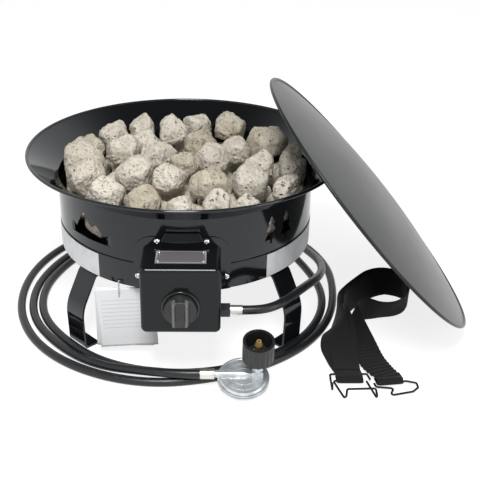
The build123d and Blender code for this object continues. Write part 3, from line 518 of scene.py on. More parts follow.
def loose_parts(node):
    """The separate solids of a CAD node: corner points, and the normals and reaches of the faces."""
    solid = bmesh.new()
    solid.from_mesh(NODES[node].data)
    bmesh.ops.remove_doubles(solid, verts=solid.verts, dist=1e-6)
    seen, parts = set(), []
    for start in solid.verts:
        if start.index in seen:
            continue
        seen.add(start.index)
        queue, part = [start], []
        while queue:
            corner = queue.pop()
            part.append(corner)
            for edge in corner.link_edges:
                other = edge.other_vert(corner)
                if other.index not in seen:
                    seen.add(other.index)
                    queue.append(other)
        faces = {face for corner in part for face in corner.link_faces}
        parts.append((
            np.array([tuple(c.co) for c in part]),
            np.array([tuple(f.normal) for f in faces]),
            np.array([f.normal.dot(f.verts[0].co) for f in faces]),
        ))
    solid.free()
    return parts


class Maker(Graph):
    """A Geometry Nodes tree that places copies of one small shape, and ends in a plain mesh."""

    def __init__(self, name, sizes):
        tree = bpy.data.node_groups.new(name, "GeometryNodeTree")
        super().__init__(tree)
        tree.interface.new_socket("Geometry", in_out="INPUT", socket_type="NodeSocketGeometry")
        tree.interface.new_socket("Geometry", in_out="OUTPUT", socket_type="NodeSocketGeometry")
        self.sizes = sizes
        for size in sizes:
            tree.interface.new_socket(size, in_out="INPUT", socket_type="NodeSocketFloat")
        self.group = tree.nodes.new("NodeGroupInput")
        self.points = Link(self, self.group.outputs["Geometry"])

    def size(self, name):
        return Link(self, self.group.outputs[name])

    def aimed(self, shape):
        """Copies of a shape on the points, its Z along each point's aim."""
        aim = self.node("GeometryNodeInputNamedAttribute", {"data_type": "FLOAT_VECTOR"}, {"Name": "aim"})
        turn = self.node("FunctionNodeAlignRotationToVector", {"axis": "Z"}, {"Vector": aim})
        sockets = {"Points": self.points, "Instance": shape, "Rotation": turn}
        return self.node("GeometryNodeInstanceOnPoints", sockets=sockets)

    def finish(self, copies, material):
        real = self.node("GeometryNodeRealizeInstances", sockets=[copies])
        painted = self.node("GeometryNodeSetMaterial", sockets={"Geometry": real, "Material": material})
        self.node("NodeGroupOutput", sockets=[painted])

    def made(self, name, points, aims, sharp=35):
        """Runs the tree on aimed points and returns the plain object."""
        seedling = mesh_object(name, points, [], smooth=False)
        field = seedling.data.attributes.new("aim", "FLOAT_VECTOR", "POINT")
        field.data.foreach_set("vector", np.array(aims, np.float32).ravel())
        modifier = seedling.modifiers.new("copies", "NODES")
        modifier.node_group = self.tree
        for item in self.tree.interface.items_tree:
            if item.in_out == "INPUT" and item.name in self.sizes:
                modifier[item.identifier] = self.sizes[item.name]
        graph = bpy.context.evaluated_depsgraph_get()
        mesh = bpy.data.meshes.new_from_object(seedling.evaluated_get(graph))
        mesh.name = name
        mesh.shade_smooth()
        mesh.set_sharp_from_angle(angle=math.radians(sharp))
        seedling.modifiers.remove(modifier)
        seedling.data = mesh
        return seedling


def screw_heads(name, points, aims, radius, height, material):
    """Domed heads with a crossed recess."""
    maker = Maker(name, {"Radius": radius, "Height": height, "Slot": radius * 0.26})
    wide, high, slot = (maker.size(size) for size in ("Radius", "Height", "Slot"))
    ball = maker.node("GeometryNodeMeshUVSphere", sockets={"Segments": 28, "Rings": 14, "Radius": 1.0})
    squeeze = maker.node("ShaderNodeCombineXYZ", sockets=[wide, wide, high])
    shape = maker.node("GeometryNodeTransform", sockets={"Geometry": ball, "Scale": squeeze})
    length = wide * 1.2
    lift = maker.node("ShaderNodeCombineXYZ", sockets=[0.0, 0.0, high])
    for sides in ((length, slot), (slot, length)):
        span = maker.node("ShaderNodeCombineXYZ", sockets=[*sides, high * 1.1])
        bar = maker.node("GeometryNodeMeshCube", sockets={"Size": span})
        cutter = maker.node("GeometryNodeTransform", sockets={"Geometry": bar, "Translation": lift})
        meshes = {"Mesh 1": shape, "Mesh 2": cutter}
        shape = maker.node("GeometryNodeMeshBoolean", {"operation": "DIFFERENCE"}, meshes)
    maker.finish(maker.aimed(shape), material)
    return maker.made(name, points, aims)


def beads(name, points, radius, material):
    """Round beads, such as those of a chain."""
    maker = Maker(name, {"Radius": radius})
    sockets = {"Radius": maker.size("Radius"), "Subdivisions": 3}
    ball = maker.node("GeometryNodeMeshIcoSphere", sockets=sockets)
    maker.finish(maker.aimed(ball), material)
    return maker.made(name, points, [(0, 0, 1)] * len(points), sharp=80)


class PieceOperator(bpy.types.Operator):
    """Base of the operators that make one group of pieces."""

    bl_options = {"REGISTER", "UNDO"}

    @property
    def settings(self):
        return bpy.context.scene.fire_bowl


class FIREBOWL_OT_enamel(PieceOperator):
    """Paints the bowl, its legs, the bracket and the control box"""

    bl_idname = "firebowl.enamel"
    bl_label = "Enamel"

    fasteners = ("leg_bolts", "leg_nuts")

    def execute(self, context):
        finish = self.settings.finish
        body = enamel_finish("bowl enamel", finish.enamel, finish.roughness)
        dress(body, "upper_shell", "base_pan", "fire_pan", "box_bracket")
        dress(body, *[name for name in NODES if name.startswith("leg_") and name not in self.fasteners])
        box = enamel_finish("box enamel", finish.enamel, finish.roughness - 0.03, peel=0.02, mirror=0.28)
        dress(box, "control_box")
        steel = metal_finish("zinc plate", ZINC_PLATE, 0.4)
        dress(steel, "burner_ring", "mixer_tube", "burner_locknut", "pan_spacers", *self.fasteners)
        dress(steel, "stem_collar", "valve_stem", "regulator_spring")
        return {"FINISHED"}


class FIREBOWL_OT_lid(PieceOperator):
    """Presses the lid's dome and rolls its edge"""

    bl_idname = "firebowl.lid"
    bl_label = "Lid"

    spokes = 288
    steps = 48
    edge_turn = (118, -200)
    edge_steps = 26
    edge_room = 1.35
    crisp = 50

    def outline(self, lid):
        """Radius and height along the lid's section: over the dome, round its edge and back under it."""
        ball = (lid.radius ** 2 + lid.rise ** 2) / (2 * lid.rise)
        low = ball - lid.rise
        hub = lid.radius - lid.bead / 2
        out = np.linspace(0, lid.radius - self.edge_room * lid.bead, self.steps)
        over = np.stack([out, np.sqrt(ball ** 2 - out ** 2) - low], axis=1)
        under = np.stack([out, np.sqrt((ball - lid.sheet) ** 2 - out ** 2) - low], axis=1)
        turn = np.radians(np.linspace(*self.edge_turn, self.edge_steps))
        edge = np.stack([hub + lid.bead * np.cos(turn), lid.bead * np.sin(turn)], axis=1)
        return np.concatenate([over, edge, under[::-1]])

    def execute(self, context):
        lid = self.settings.lid
        c, s = math.cos(lid.lean), math.sin(lid.lean)
        axis = np.array((c * math.cos(lid.turn), c * math.sin(lid.turn), s))
        level = np.array((-math.sin(lid.turn), math.cos(lid.turn), 0))
        steep = np.cross(axis, level)
        solid = np.array([tuple(v.co) for v in NODES["lid"].data.vertices])
        spans = [solid @ way for way in (level, steep, axis)]
        hub = [(span.max() + span.min()) / 2 for span in spans[:2]] + [spans[2].min() + lid.bead]
        outline = self.outline(lid)
        angles = np.linspace(0, 2 * math.pi, self.spokes, endpoint=False)
        across, along = np.cos(angles), np.sin(angles)
        rings = []
        for radius, rise in outline[1:-1]:
            sides = np.outer(hub[0] + radius * across, level) + np.outer(hub[1] + radius * along, steep)
            rings.append(sides + (hub[2] + rise) * axis)
        poles = []
        for rise in (outline[0, 1], outline[-1, 1]):
            poles.append(hub[0] * level + hub[1] * steep + (hub[2] + rise) * axis)
        first = len(poles)
        last = first + (len(rings) - 1) * self.spokes
        faces = fan_faces(0, first, self.spokes) + ring_faces(first, len(rings) - 1, self.spokes)
        faces += [(tip, b, a) for tip, a, b in fan_faces(1, last, self.spokes)]
        made = mesh_object("lid_dome", np.concatenate([poles, *rings]), faces)
        crease(made, self.crisp)
        paint = enamel_finish("lid enamel", self.settings.finish.lid_enamel, 0.3, peel=0.04, mirror=0.3)
        dress(paint, made)
        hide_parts("lid")
        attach(made, "cover_lid")
        return {"FINISHED"}


class FIREBOWL_OT_rocks(PieceOperator):
    """Breaks the faceted rocks into rough porous stones, each inside its own solid"""

    bl_idname = "firebowl.rocks"
    bl_label = "Lava rocks"

    layers = (("rocks_top", "lava_rocks_top", 5), ("rocks_below", "lava_rocks_lower", 4))
    dent_rate = 42
    chip_rate = 130
    pit_rate = 105
    pit_reach = 0.42
    gate_rate = 60

    def stone(self, part, ball, rocks, index):
        """Points of one stone, and how much painted shade each gets from the depth of its dents, chips and
        pits.
        """
        corners, normals, reaches = part
        centre = corners.mean(axis=0)
        room = np.maximum(reaches - normals @ centre, 1e-6)
        spread = np.maximum(ball @ normals.T / room, 0)
        radius = (spread ** rocks.sharpness).sum(axis=1) ** (-1 / rocks.sharpness)
        surface = centre + radius[:, None] * ball
        drift = Vector((index * 0.37, index * 0.71, rocks.seed))
        broad = np.array([noise.fractal(Vector(p) * self.dent_rate + drift, 0.9, 2.1, 3) for p in surface])
        fine = np.array([noise.turbulence(Vector(p) * self.chip_rate + drift, 3, True) for p in surface])
        cell = np.array([noise.voronoi(Vector(p) * self.pit_rate + drift)[0][0] for p in surface])
        gate = np.array([noise.noise(Vector(p) * self.gate_rate - drift) for p in surface])
        broad = np.clip(0.5 + 0.5 * broad, 0, 1)
        fine = np.clip(fine, 0, 1)
        pit = np.clip(1 - cell / self.pit_reach, 0, 1) ** 0.6 * np.clip(0.5 + 2.2 * gate, 0, 1)
        depth = rocks.dent * broad + rocks.chip * fine + rocks.pit * pit
        # Painted shade: the deeper a point is pressed in, the darker its colour is painted.
        hollow = np.clip(0.6 * broad ** 2 + 0.3 * fine ** 2 + 0.55 * pit, 0, 1)
        return centre + (radius - depth)[:, None] * ball, hollow

    def heap(self, name, node, detail):
        """One layer of stones, with each stone's tone and the painted shade of its hollows."""
        rocks = self.settings.rocks
        sphere = bmesh.new()
        bmesh.ops.create_icosphere(sphere, subdivisions=detail, radius=1)
        ball = np.array([tuple(v.co) for v in sphere.verts])
        ball /= np.linalg.norm(ball, axis=1)[:, None]
        faces = np.array([[v.index for v in f.verts] for f in sphere.faces])
        sphere.free()
        draw = np.random.default_rng(rocks.seed)
        corners, sides, tones, hollows = [], [], [], []
        for index, part in enumerate(loose_parts(node)):
            points, hollow = self.stone(part, ball, rocks, index)
            sides.append(faces + index * len(ball))
            corners.append(points)
            hollows.append(hollow)
            tones.append(np.full(len(ball), draw.random()))
        made = mesh_object(name, np.concatenate(corners), np.concatenate(sides).tolist())
        point_values(made, "tone", np.concatenate(tones))
        point_values(made, "hollow", np.concatenate(hollows))
        return made

    def execute(self, context):
        stone = stone_finish(self.settings.rocks)
        for name, node, detail in self.layers:
            heap = self.heap(name, node, detail)
            dress(stone, heap)
            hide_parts(node)
            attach(heap, "bowl")
        return {"FINISHED"}


HOSE_STEP = 20.0
HOSE_FIRST_ANGLE = -40.0
HOSE_DEPARTURE = [(21, 0, 0), (42, 7, 0.5), (60, 22, 1)]
HOSE_LEAD = 26
# Reach from the bowl's axis and height of each point of the turns, in millimetres.
HOSE_TURNS = [
    (226, 97), (222, 79), (219, 60), (218, 43), (232, 31.5), (232, 25.5), (229.5, 20), (229, 13.5),
    (230, 8.5), (232, 6.5), (229, 6.5), (234, 6.5), (236, 6.5), (231.5, 6.5), (236.5, 6.5), (236, 6.5),
    (235, 6.5), (230.3, 6.5), (229.5, 6.5), (226.5, 6.5), (223, 6.5), (218, 6.5), (231, 6.5), (246, 6.5),
    (262, 6.5), (273, 6.5), (277, 6.5), (276.5, 6.5), (272.5, 6.5), (268.5, 6.5), (269, 6.5), (270, 6.5),
    (267, 6.5), (262, 6.5), (249, 6.5), (244, 6.5), (243, 6.5), (241, 6.5), (242, 6.5), (257, 6.5),
    (270, 7.5), (270.5, 14), (266.5, 21.5), (256.5, 18.5), (249.5, 9), (247, 6.5), (245.5, 6.5),
    (249, 6.5), (251.5, 6.5), (247, 6.5), (250.3, 9), (249, 18.5),
]


class FIREBOWL_OT_hose(PieceOperator):
    """Lays the gas hose along the same route as the solid"""

    bl_idname = "firebowl.hose"
    bl_label = "Gas hose"

    def route(self):
        """The hose's control points in metres: from the box, three turns, to the regulator."""
        start = Vector((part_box("inlet_ferrule")[1].x, *middle("inlet_ferrule")[1:]))
        end = Vector((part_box("regulator_ferrule")[0].x, *middle("regulator_ferrule")[1:]))
        corner = MM / math.cos(math.radians(HOSE_STEP / 2))
        points = [start] + [start + MM * Vector(offset) for offset in HOSE_DEPARTURE]
        for k, (radius, height) in enumerate(HOSE_TURNS):
            angle = math.radians(HOSE_FIRST_ANGLE + k * HOSE_STEP)
            reach = corner * radius
            points.append(Vector((reach * math.cos(angle), reach * math.sin(angle), MM * height)))
        return points + [end - MM * Vector((HOSE_LEAD, 0, 0)), end]

    def execute(self, context):
        sizes = self.settings.hose
        curve = bpy.data.curves.new("hose", "CURVE")
        curve.dimensions = "3D"
        curve.bevel_depth = sizes.diameter / 2
        curve.bevel_resolution = 6
        curve.use_fill_caps = True
        line = curve.splines.new("NURBS")
        points = self.route()
        line.points.add(len(points) - 1)
        for point, place in zip(line.points, points):
            point.co = (*place, 1)
        line.order_u = 3
        line.use_endpoint_u = True
        line.resolution_u = 10
        hose = bpy.data.objects.new("hose", curve)
        context.scene.collection.objects.link(hose)
        curve.materials.append(rubber_finish(sizes.rubber))
        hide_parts("gas_hose")
        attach(hose, "bowl")
        return {"FINISHED"}


class FIREBOWL_OT_gas_fittings(PieceOperator):
    """Finishes the ferrules, the regulator and the hand nut"""

    bl_idname = "firebowl.gas_fittings"
    bl_label = "Gas fittings"

    def execute(self, context):
        finish = self.settings.finish
        zinc = metal_finish("regulator zinc", finish.zinc, 0.34, metallic=0.65)
        dress(zinc, "regulator_base", "regulator_cover")
        crimp = metal_finish("crimped ferrule", finish.crimp, 0.42, grain=(20, 260, 260))
        dress(crimp, "inlet_ferrule", "regulator_ferrule")
        brass = metal_finish("brass", finish.brass, 0.3, metallic=0.6)
        dress(brass, "inlet_nipple", "outlet_barb", "valve_body", "orifice", "inlet_pipe")
        dress(plastic_finish("hand nut plastic", finish.plastic, 0.4), "coupling_nut")
        seal = plastic_finish("seal rubber", (0.012, 0.012, 0.012), 0.55)
        dress(seal, "nipple_seal", "regulator_diaphragm")
        dress(enamel_finish("hose nut black", finish.enamel, 0.3), "hose_nut")
        return {"FINISHED"}


class FIREBOWL_OT_knob(PieceOperator):
    """Moulds the control knob and its bezel, and winds the spring behind it"""

    bl_idname = "firebowl.knob"
    bl_label = "Control knob"

    rings = 40
    spokes = 120
    crisp = 50
    skirt_share = 0.4
    bar_share = 0.5
    bar_soft_share = 0.03
    end_share = 0.92
    ridge_share = 0.42
    ridge_half_share = 0.115
    soft_share = 0.02
    valley_shares = (0.6, 0.14)
    roll_share = 0.045
    roll_drop_share = 0.14
    # How far a point of the grip stands out before it gets the painted highlight.
    highlight_over = 2 * MM
    push = 3 * MM
    wire = 0.6 * MM
    turns = 4

    def within(self, distance, limit, soft):
        """1 inside a limit and 0 outside it, with a soft step between."""
        return 1 / (1 + np.exp((distance - limit) / soft))

    def ridge(self, across, radius):
        """1 on the two raised edges of the grip, 0 beside them."""
        off = np.abs(np.abs(across) - self.ridge_share * radius)
        return self.within(off, self.ridge_half_share * radius, self.soft_share * radius)

    def height(self, across, up, radius, rise):
        """How far the knob's face stands out: a bar with raised edges and a valley between them."""
        bar = self.within(np.abs(across), self.bar_share * radius, self.bar_soft_share * radius)
        ends = self.within(np.hypot(across, up), self.end_share * radius, self.soft_share * radius)
        low, climb = self.valley_shares
        valley = low + climb * (up / radius) ** 2
        return rise * ends * (bar * valley + (1 - valley) * self.ridge(across, radius))

    def execute(self, context):
        low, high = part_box("knob")
        centre = (low + high) / 2
        radius = (high.x - low.x) / 2
        depth = high.y - low.y
        skirt = self.skirt_share * depth
        base = high.y - skirt
        shares = np.linspace(0, 1, self.rings + 1)[1:]
        angles = np.linspace(0, 2 * math.pi, self.spokes, endpoint=False)
        across = np.outer(shares, np.cos(angles)) * radius
        up = np.outer(shares, np.sin(angles)) * radius
        roll = np.clip((shares - (1 - self.roll_share)) / self.roll_share, 0, 1)[:, None]
        face = base - self.height(across, up, radius, depth - skirt)
        face = face + self.roll_drop_share * skirt * roll ** 2
        middle_face = base - self.height(np.zeros(1), np.zeros(1), radius, depth - skirt)[0]
        corners = [(centre.x, middle_face, centre.z)]
        for xs, ys, zs in zip(across, face, up):
            corners += [(centre.x + x, y, centre.z + z) for x, y, z in zip(xs, ys, zs)]
        corners += [(centre.x + x, high.y, centre.z + z) for x, z in zip(across[-1], up[-1])]
        corners.append((centre.x, high.y, centre.z))
        back = 1 + self.rings * self.spokes
        faces = fan_faces(0, 1, self.spokes) + ring_faces(1, self.rings, self.spokes)
        faces += [(tip, b, a) for tip, a, b in fan_faces(len(corners) - 1, back, self.spokes)]
        knob = mesh_object("knob_moulding", corners, faces)
        crease(knob, self.crisp)
        # Painted highlight: the raised ridges of the grip are painted pale grey where the light catches them.
        places = np.array(corners)
        raised = places[:, 1] < base - self.highlight_over
        point_values(knob, "wear_and_highlight", self.ridge(places[:, 0] - centre.x, radius) * raised)
        finish = self.settings.finish
        dress(plastic_finish("knob plastic", finish.knob, 0.42, wear_and_highlight=0.15), knob)
        dress(plastic_finish("bezel plastic", finish.plastic, 0.14), "knob_bezel")
        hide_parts("knob")
        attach(knob, "control_knob")
        self.spring()
        return {"FINISHED"}

    def spring(self, steps=160, sides=12):
        """The spring behind the knob, made at its rest length; on the real bowl it shortens as the stem goes
        in.
        """
        low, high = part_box("stem_spring")
        length = high.y - low.y
        radius = (high.x - low.x) / 2 - self.wire
        share = np.linspace(0, 1, steps + 1)
        turn = 2 * math.pi * self.turns * share
        out = np.stack([np.cos(turn), 0 * turn, np.sin(turn)], axis=1)
        middles = np.array(((low.x + high.x) / 2, low.y + self.wire, (low.z + high.z) / 2)) + radius * out
        middles[:, 1] += (length - 2 * self.wire) * share
        ahead = np.gradient(middles, axis=0)
        side = np.cross(ahead / np.linalg.norm(ahead, axis=1)[:, None], out)
        around = np.linspace(0, 2 * math.pi, sides, endpoint=False)[None, :, None]
        section = np.cos(around) * out[:, None] + np.sin(around) * side[:, None]
        rings = middles[:, None] + self.wire * section
        faces = [tuple(range(sides)), tuple(steps * sides + k for k in range(sides))[::-1]]
        faces += ring_faces(0, steps, sides)
        coil = mesh_object("spring_coil", rings.reshape(-1, 3), faces)
        face_outward(coil)
        crease(coil, 60)
        dress(metal_finish("spring steel", ZINC_PLATE, 0.35), coil)
        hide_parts("stem_spring")
        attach(coil, "bowl")
        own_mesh(coil)


class FIREBOWL_OT_trim(PieceOperator):
    """Makes the screws and rivets and finishes the nameplate and labels"""

    bl_idname = "firebowl.trim"
    bl_label = "Screws, plate and labels"

    head_radius = 4.4 * MM
    head_height = 2.7 * MM
    head_sink = 2.8 * MM
    rivet_radius = 1.5 * MM

    def execute(self, context):
        finish = self.settings.finish
        chrome = metal_finish("bright screw", (0.8, 0.81, 0.83), 0.16, wear_and_highlight=0.05)
        places, aims = [], []
        for corners, _, _ in loose_parts("box_screws"):
            out = Vector((*corners.mean(axis=0)[:2], 0)).normalized()
            reach = np.sort(corners @ np.array(out))
            head = Vector((0, 0, corners[:, 2].mean())) + out * (reach[-1] - self.head_sink)
            places.append(head)
            aims.append(tuple(out))
        screws = screw_heads("bracket_screws", places, aims, self.head_radius, self.head_height, chrome)
        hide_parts("box_screws")
        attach(screws, "bowl")
        tops = []
        for corners, _, _ in loose_parts("nameplate_rivets"):
            tops.append(Vector((*corners.mean(axis=0)[:2], corners[:, 2].min())))
        rivets = beads("plate_rivets", tops, self.rivet_radius, chrome)
        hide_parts("nameplate_rivets")
        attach(rivets, "bowl")
        dress(nameplate_finish(), "nameplate")
        dress(foil_finish(finish.foil), "label_left", "label_right")
        return {"FINISHED"}


# The strap's way over the floor: middle of the webbing and the way that its width points, in millimetres.
STRAP_STATIONS = [
    ((238.5, -234, 1.3), (1, 0, 0)), ((238.5, -247, 1.3), (1, 0, 0)), ((238.5, -254.0, 4.2), (1, 0, 0)),
    ((238.4, -249, 8.0), (1, 0, 0)), ((238, -238, 7.6), (1, 0, 0)), ((235, -215, 4.6), (1, 0.02, 0)),
    ((230, -190, 5.0), (1, 0.05, 0)), ((227, -168, 8.0), (0.98, 0.1, 0.16)),
    ((230, -142, 14.6), (0.88, 0.2, 0.46)), ((236, -116, 20.4), (0.46, 0.25, 0.85)),
    ((238, -92, 21.6), (0.15, 0.3, 0.94)), ((246, -69, 21.4), (-0.05, 0.25, 0.95)),
    ((261, -44, 21.3), (-0.1, 0.22, 0.95)), ((280, -20, 21.3), (-0.08, 0.26, 0.94)),
    ((303, 3, 21.0), (-0.05, 0.4, 0.91)), ((326, 13, 20.8), (0, 0.45, 0.89)),
    ((347, 6, 21.0), (0, 0.4, 0.92)), ((361, -13, 21.8), (0, 0.2, 0.98)),
    ((362, -38, 22.0), (0, -0.1, 0.99)), ((350, -63, 21.4), (0, -0.3, 0.95)),
    ((330, -79, 20.6), (0, -0.42, 0.9)), ((307, -84, 20.6), (0.05, -0.36, 0.92)),
    ((282, -83, 21.8), (0.15, -0.05, 0.99)), ((263, -96, 21.3), (0.36, 0, 0.93)),
    ((259, -118, 17.4), (0.7, 0, 0.71)), ((263, -142, 11.8), (0.9, 0.06, 0.43)),
    ((270, -166, 6.4), (0.98, 0.12, 0.12)), ((276, -195, 5.0), (0.99, 0.13, 0)),
    ((286, -225, 5.2), (0.99, 0.13, 0)), ((294.4, -243, 6.8), (0.99, 0.13, 0)),
    ((295, -252.5, 8.0), (0.99, 0.13, 0)), ((295.5, -257.6, 4.2), (0.99, 0.13, 0)),
    ((294.8, -251, 1.3), (0.99, 0.13, 0)), ((293.2, -238, 1.3), (0.99, 0.13, 0)),
]
SECOND_STRAP_STATIONS = [
    ((237, -229, 8.8), (1, 0.03, 0)), ((238, -207, 8.4), (0.98, 0.08, 0.06)),
    ((239, -182, 10.0), (0.96, 0.12, 0.18)), ((240, -156, 14.0), (0.9, 0.15, 0.38)),
    ((242, -129, 19.8), (0.7, 0.2, 0.66)), ((246, -101, 22.0), (0.3, 0.3, 0.9)),
    ((254, -72, 21.6), (-0.02, 0.25, 0.95)), ((267, -48, 21.3), (-0.08, 0.22, 0.95)),
    ((285, -26, 21.3), (-0.08, 0.26, 0.94)), ((306, -4, 21.0), (-0.05, 0.4, 0.91)),
    ((326, 6, 20.8), (0, 0.45, 0.89)), ((343, 1, 21.0), (0, 0.42, 0.91)),
    ((356, -14, 21.8), (0, 0.2, 0.98)), ((359.5, -30, 22.0), (0, 0, 1)),
    ((359.2, -42, 22.0), (0, -0.14, 0.99)),
]


def smooth_line(points, per_run):
    """Points on a smooth curve through the given points."""
    points = np.array(points, float)
    padded = np.vstack([2 * points[0] - points[1], points, 2 * points[-1] - points[-2]])
    out = []
    for a, b, c, d in zip(padded, padded[1:], padded[2:], padded[3:]):
        for t in np.arange(per_run) / per_run:
            square, cube = 2 * a - 5 * b + 4 * c - d, 3 * b - a - 3 * c + d
            out.append(0.5 * (2 * b + (c - a) * t + square * t * t + cube * t ** 3))
    return np.array(out + [points[-1]])


def ramp(distance, span):
    """0 up to the start of a span, 1 past its end, and even between them."""
    return np.clip(distance / span, 0, 1)


class FIREBOWL_OT_straps(PieceOperator):
    """Weaves the carrying strap and finishes its wire hooks"""

    bl_idname = "firebowl.straps"
    bl_label = "Straps and hooks"

    per_run = 14
    columns = 14
    crisp = 60
    gathers = (135 * MM, 30 * MM)
    gathers_grow = 20 * MM
    gathers_fade = 10 * MM
    hem_length = 70 * MM
    hem_taper = 40 * MM
    flat_end = 50 * MM
    flat_taper = 20 * MM
    sag = 0.6 * MM
    sag_rate = 55
    edge_power = 8
    edge_least = 0.02

    def ribbon(self, stations, gather_from, gather_to):
        """Corners, faces and weave map of a run of webbing, gathered between two distances from its end."""
        sizes = self.settings.strap
        middles = MM * smooth_line([place for place, _ in stations], self.per_run)
        widths = smooth_line([width for _, width in stations], self.per_run)
        ahead = np.gradient(middles, axis=0)
        ahead /= np.linalg.norm(ahead, axis=1)[:, None]
        widths -= (widths * ahead).sum(axis=1)[:, None] * ahead
        widths /= np.linalg.norm(widths, axis=1)[:, None]
        normals = np.cross(ahead, widths)
        run = np.concatenate([[0], np.cumsum(np.linalg.norm(np.diff(middles, axis=0), axis=1))])
        share = np.linspace(-1, 1, self.columns + 1)
        fullness = np.maximum(1 - np.abs(share) ** self.edge_power, self.edge_least)
        edge = sizes.thickness / 2 * np.sqrt(fullness)
        left = run[-1] - run
        end = np.minimum(run, left)
        gathered = ramp(gather_from - left, self.gathers_grow) * ramp(left - gather_to, self.gathers_fade)
        ripple = sizes.gather * gathered * np.sin(2 * math.pi * run / sizes.gather_pitch)
        loose = ramp(end - self.flat_end, self.flat_taper)
        sag = self.sag * (loose * np.sin(run * self.sag_rate))[:, None] * (share ** 2)[None, :]
        half = sizes.width / 2
        narrow = 1 - sizes.hem * ramp(self.hem_length - end, self.hem_taper)
        flat = middles[:, None] + half * np.outer(narrow, share)[:, :, None] * widths[:, None]
        lift = (ripple[:, None] + sag)[:, :, None] * normals[:, None]
        top = flat + lift + edge[None, :, None] * normals[:, None]
        under = flat + lift - edge[None, :, None] * normals[:, None]
        corners = np.concatenate([top, under[:, ::-1]], axis=1).reshape(-1, 3)
        corners[:, 2] = np.maximum(corners[:, 2], sizes.clear)
        around, rows = 2 * (self.columns + 1), len(middles)
        faces = []
        for row in range(rows - 1):
            a, b = row * around, (row + 1) * around
            faces += [(a + k, a + (k + 1) % around, b + (k + 1) % around, b + k) for k in range(around)]
        faces += [tuple(range(around))[::-1], tuple((rows - 1) * around + k for k in range(around))]
        sideways = np.concatenate([share, share[::-1]]) * half
        weave = np.stack([np.tile(sideways, rows), np.repeat(run, around)], axis=1)
        return corners, faces, weave

    def execute(self, context):
        sizes = self.settings.strap
        corners, faces, weave = self.ribbon(STRAP_STATIONS, *self.gathers)
        more_corners, more_faces, more_weave = self.ribbon(SECOND_STRAP_STATIONS, 0, 0)
        faces += [tuple(k + len(corners) for k in face) for face in more_faces]
        strap = mesh_object("strap_webbing", np.concatenate([corners, more_corners]), faces)
        weave = np.concatenate([weave, more_weave])
        layer = strap.data.uv_layers.new(name="weave")
        used = np.empty(len(strap.data.loops), np.int32)
        strap.data.loops.foreach_get("vertex_index", used)
        layer.data.foreach_set("uv", weave[used].astype(np.float32).ravel())
        face_outward(strap)
        crease(strap, self.crisp)
        dress(webbing_finish(sizes.webbing), strap)
        dress(metal_finish("hook wire", sizes.wire, 0.34, wear_and_highlight=0.1), "hook_right", "hook_front", "hook_left")
        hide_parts("strap_left", "strap_loop", "strap_right")
        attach(strap, "carry_straps")
        return {"FINISHED"}


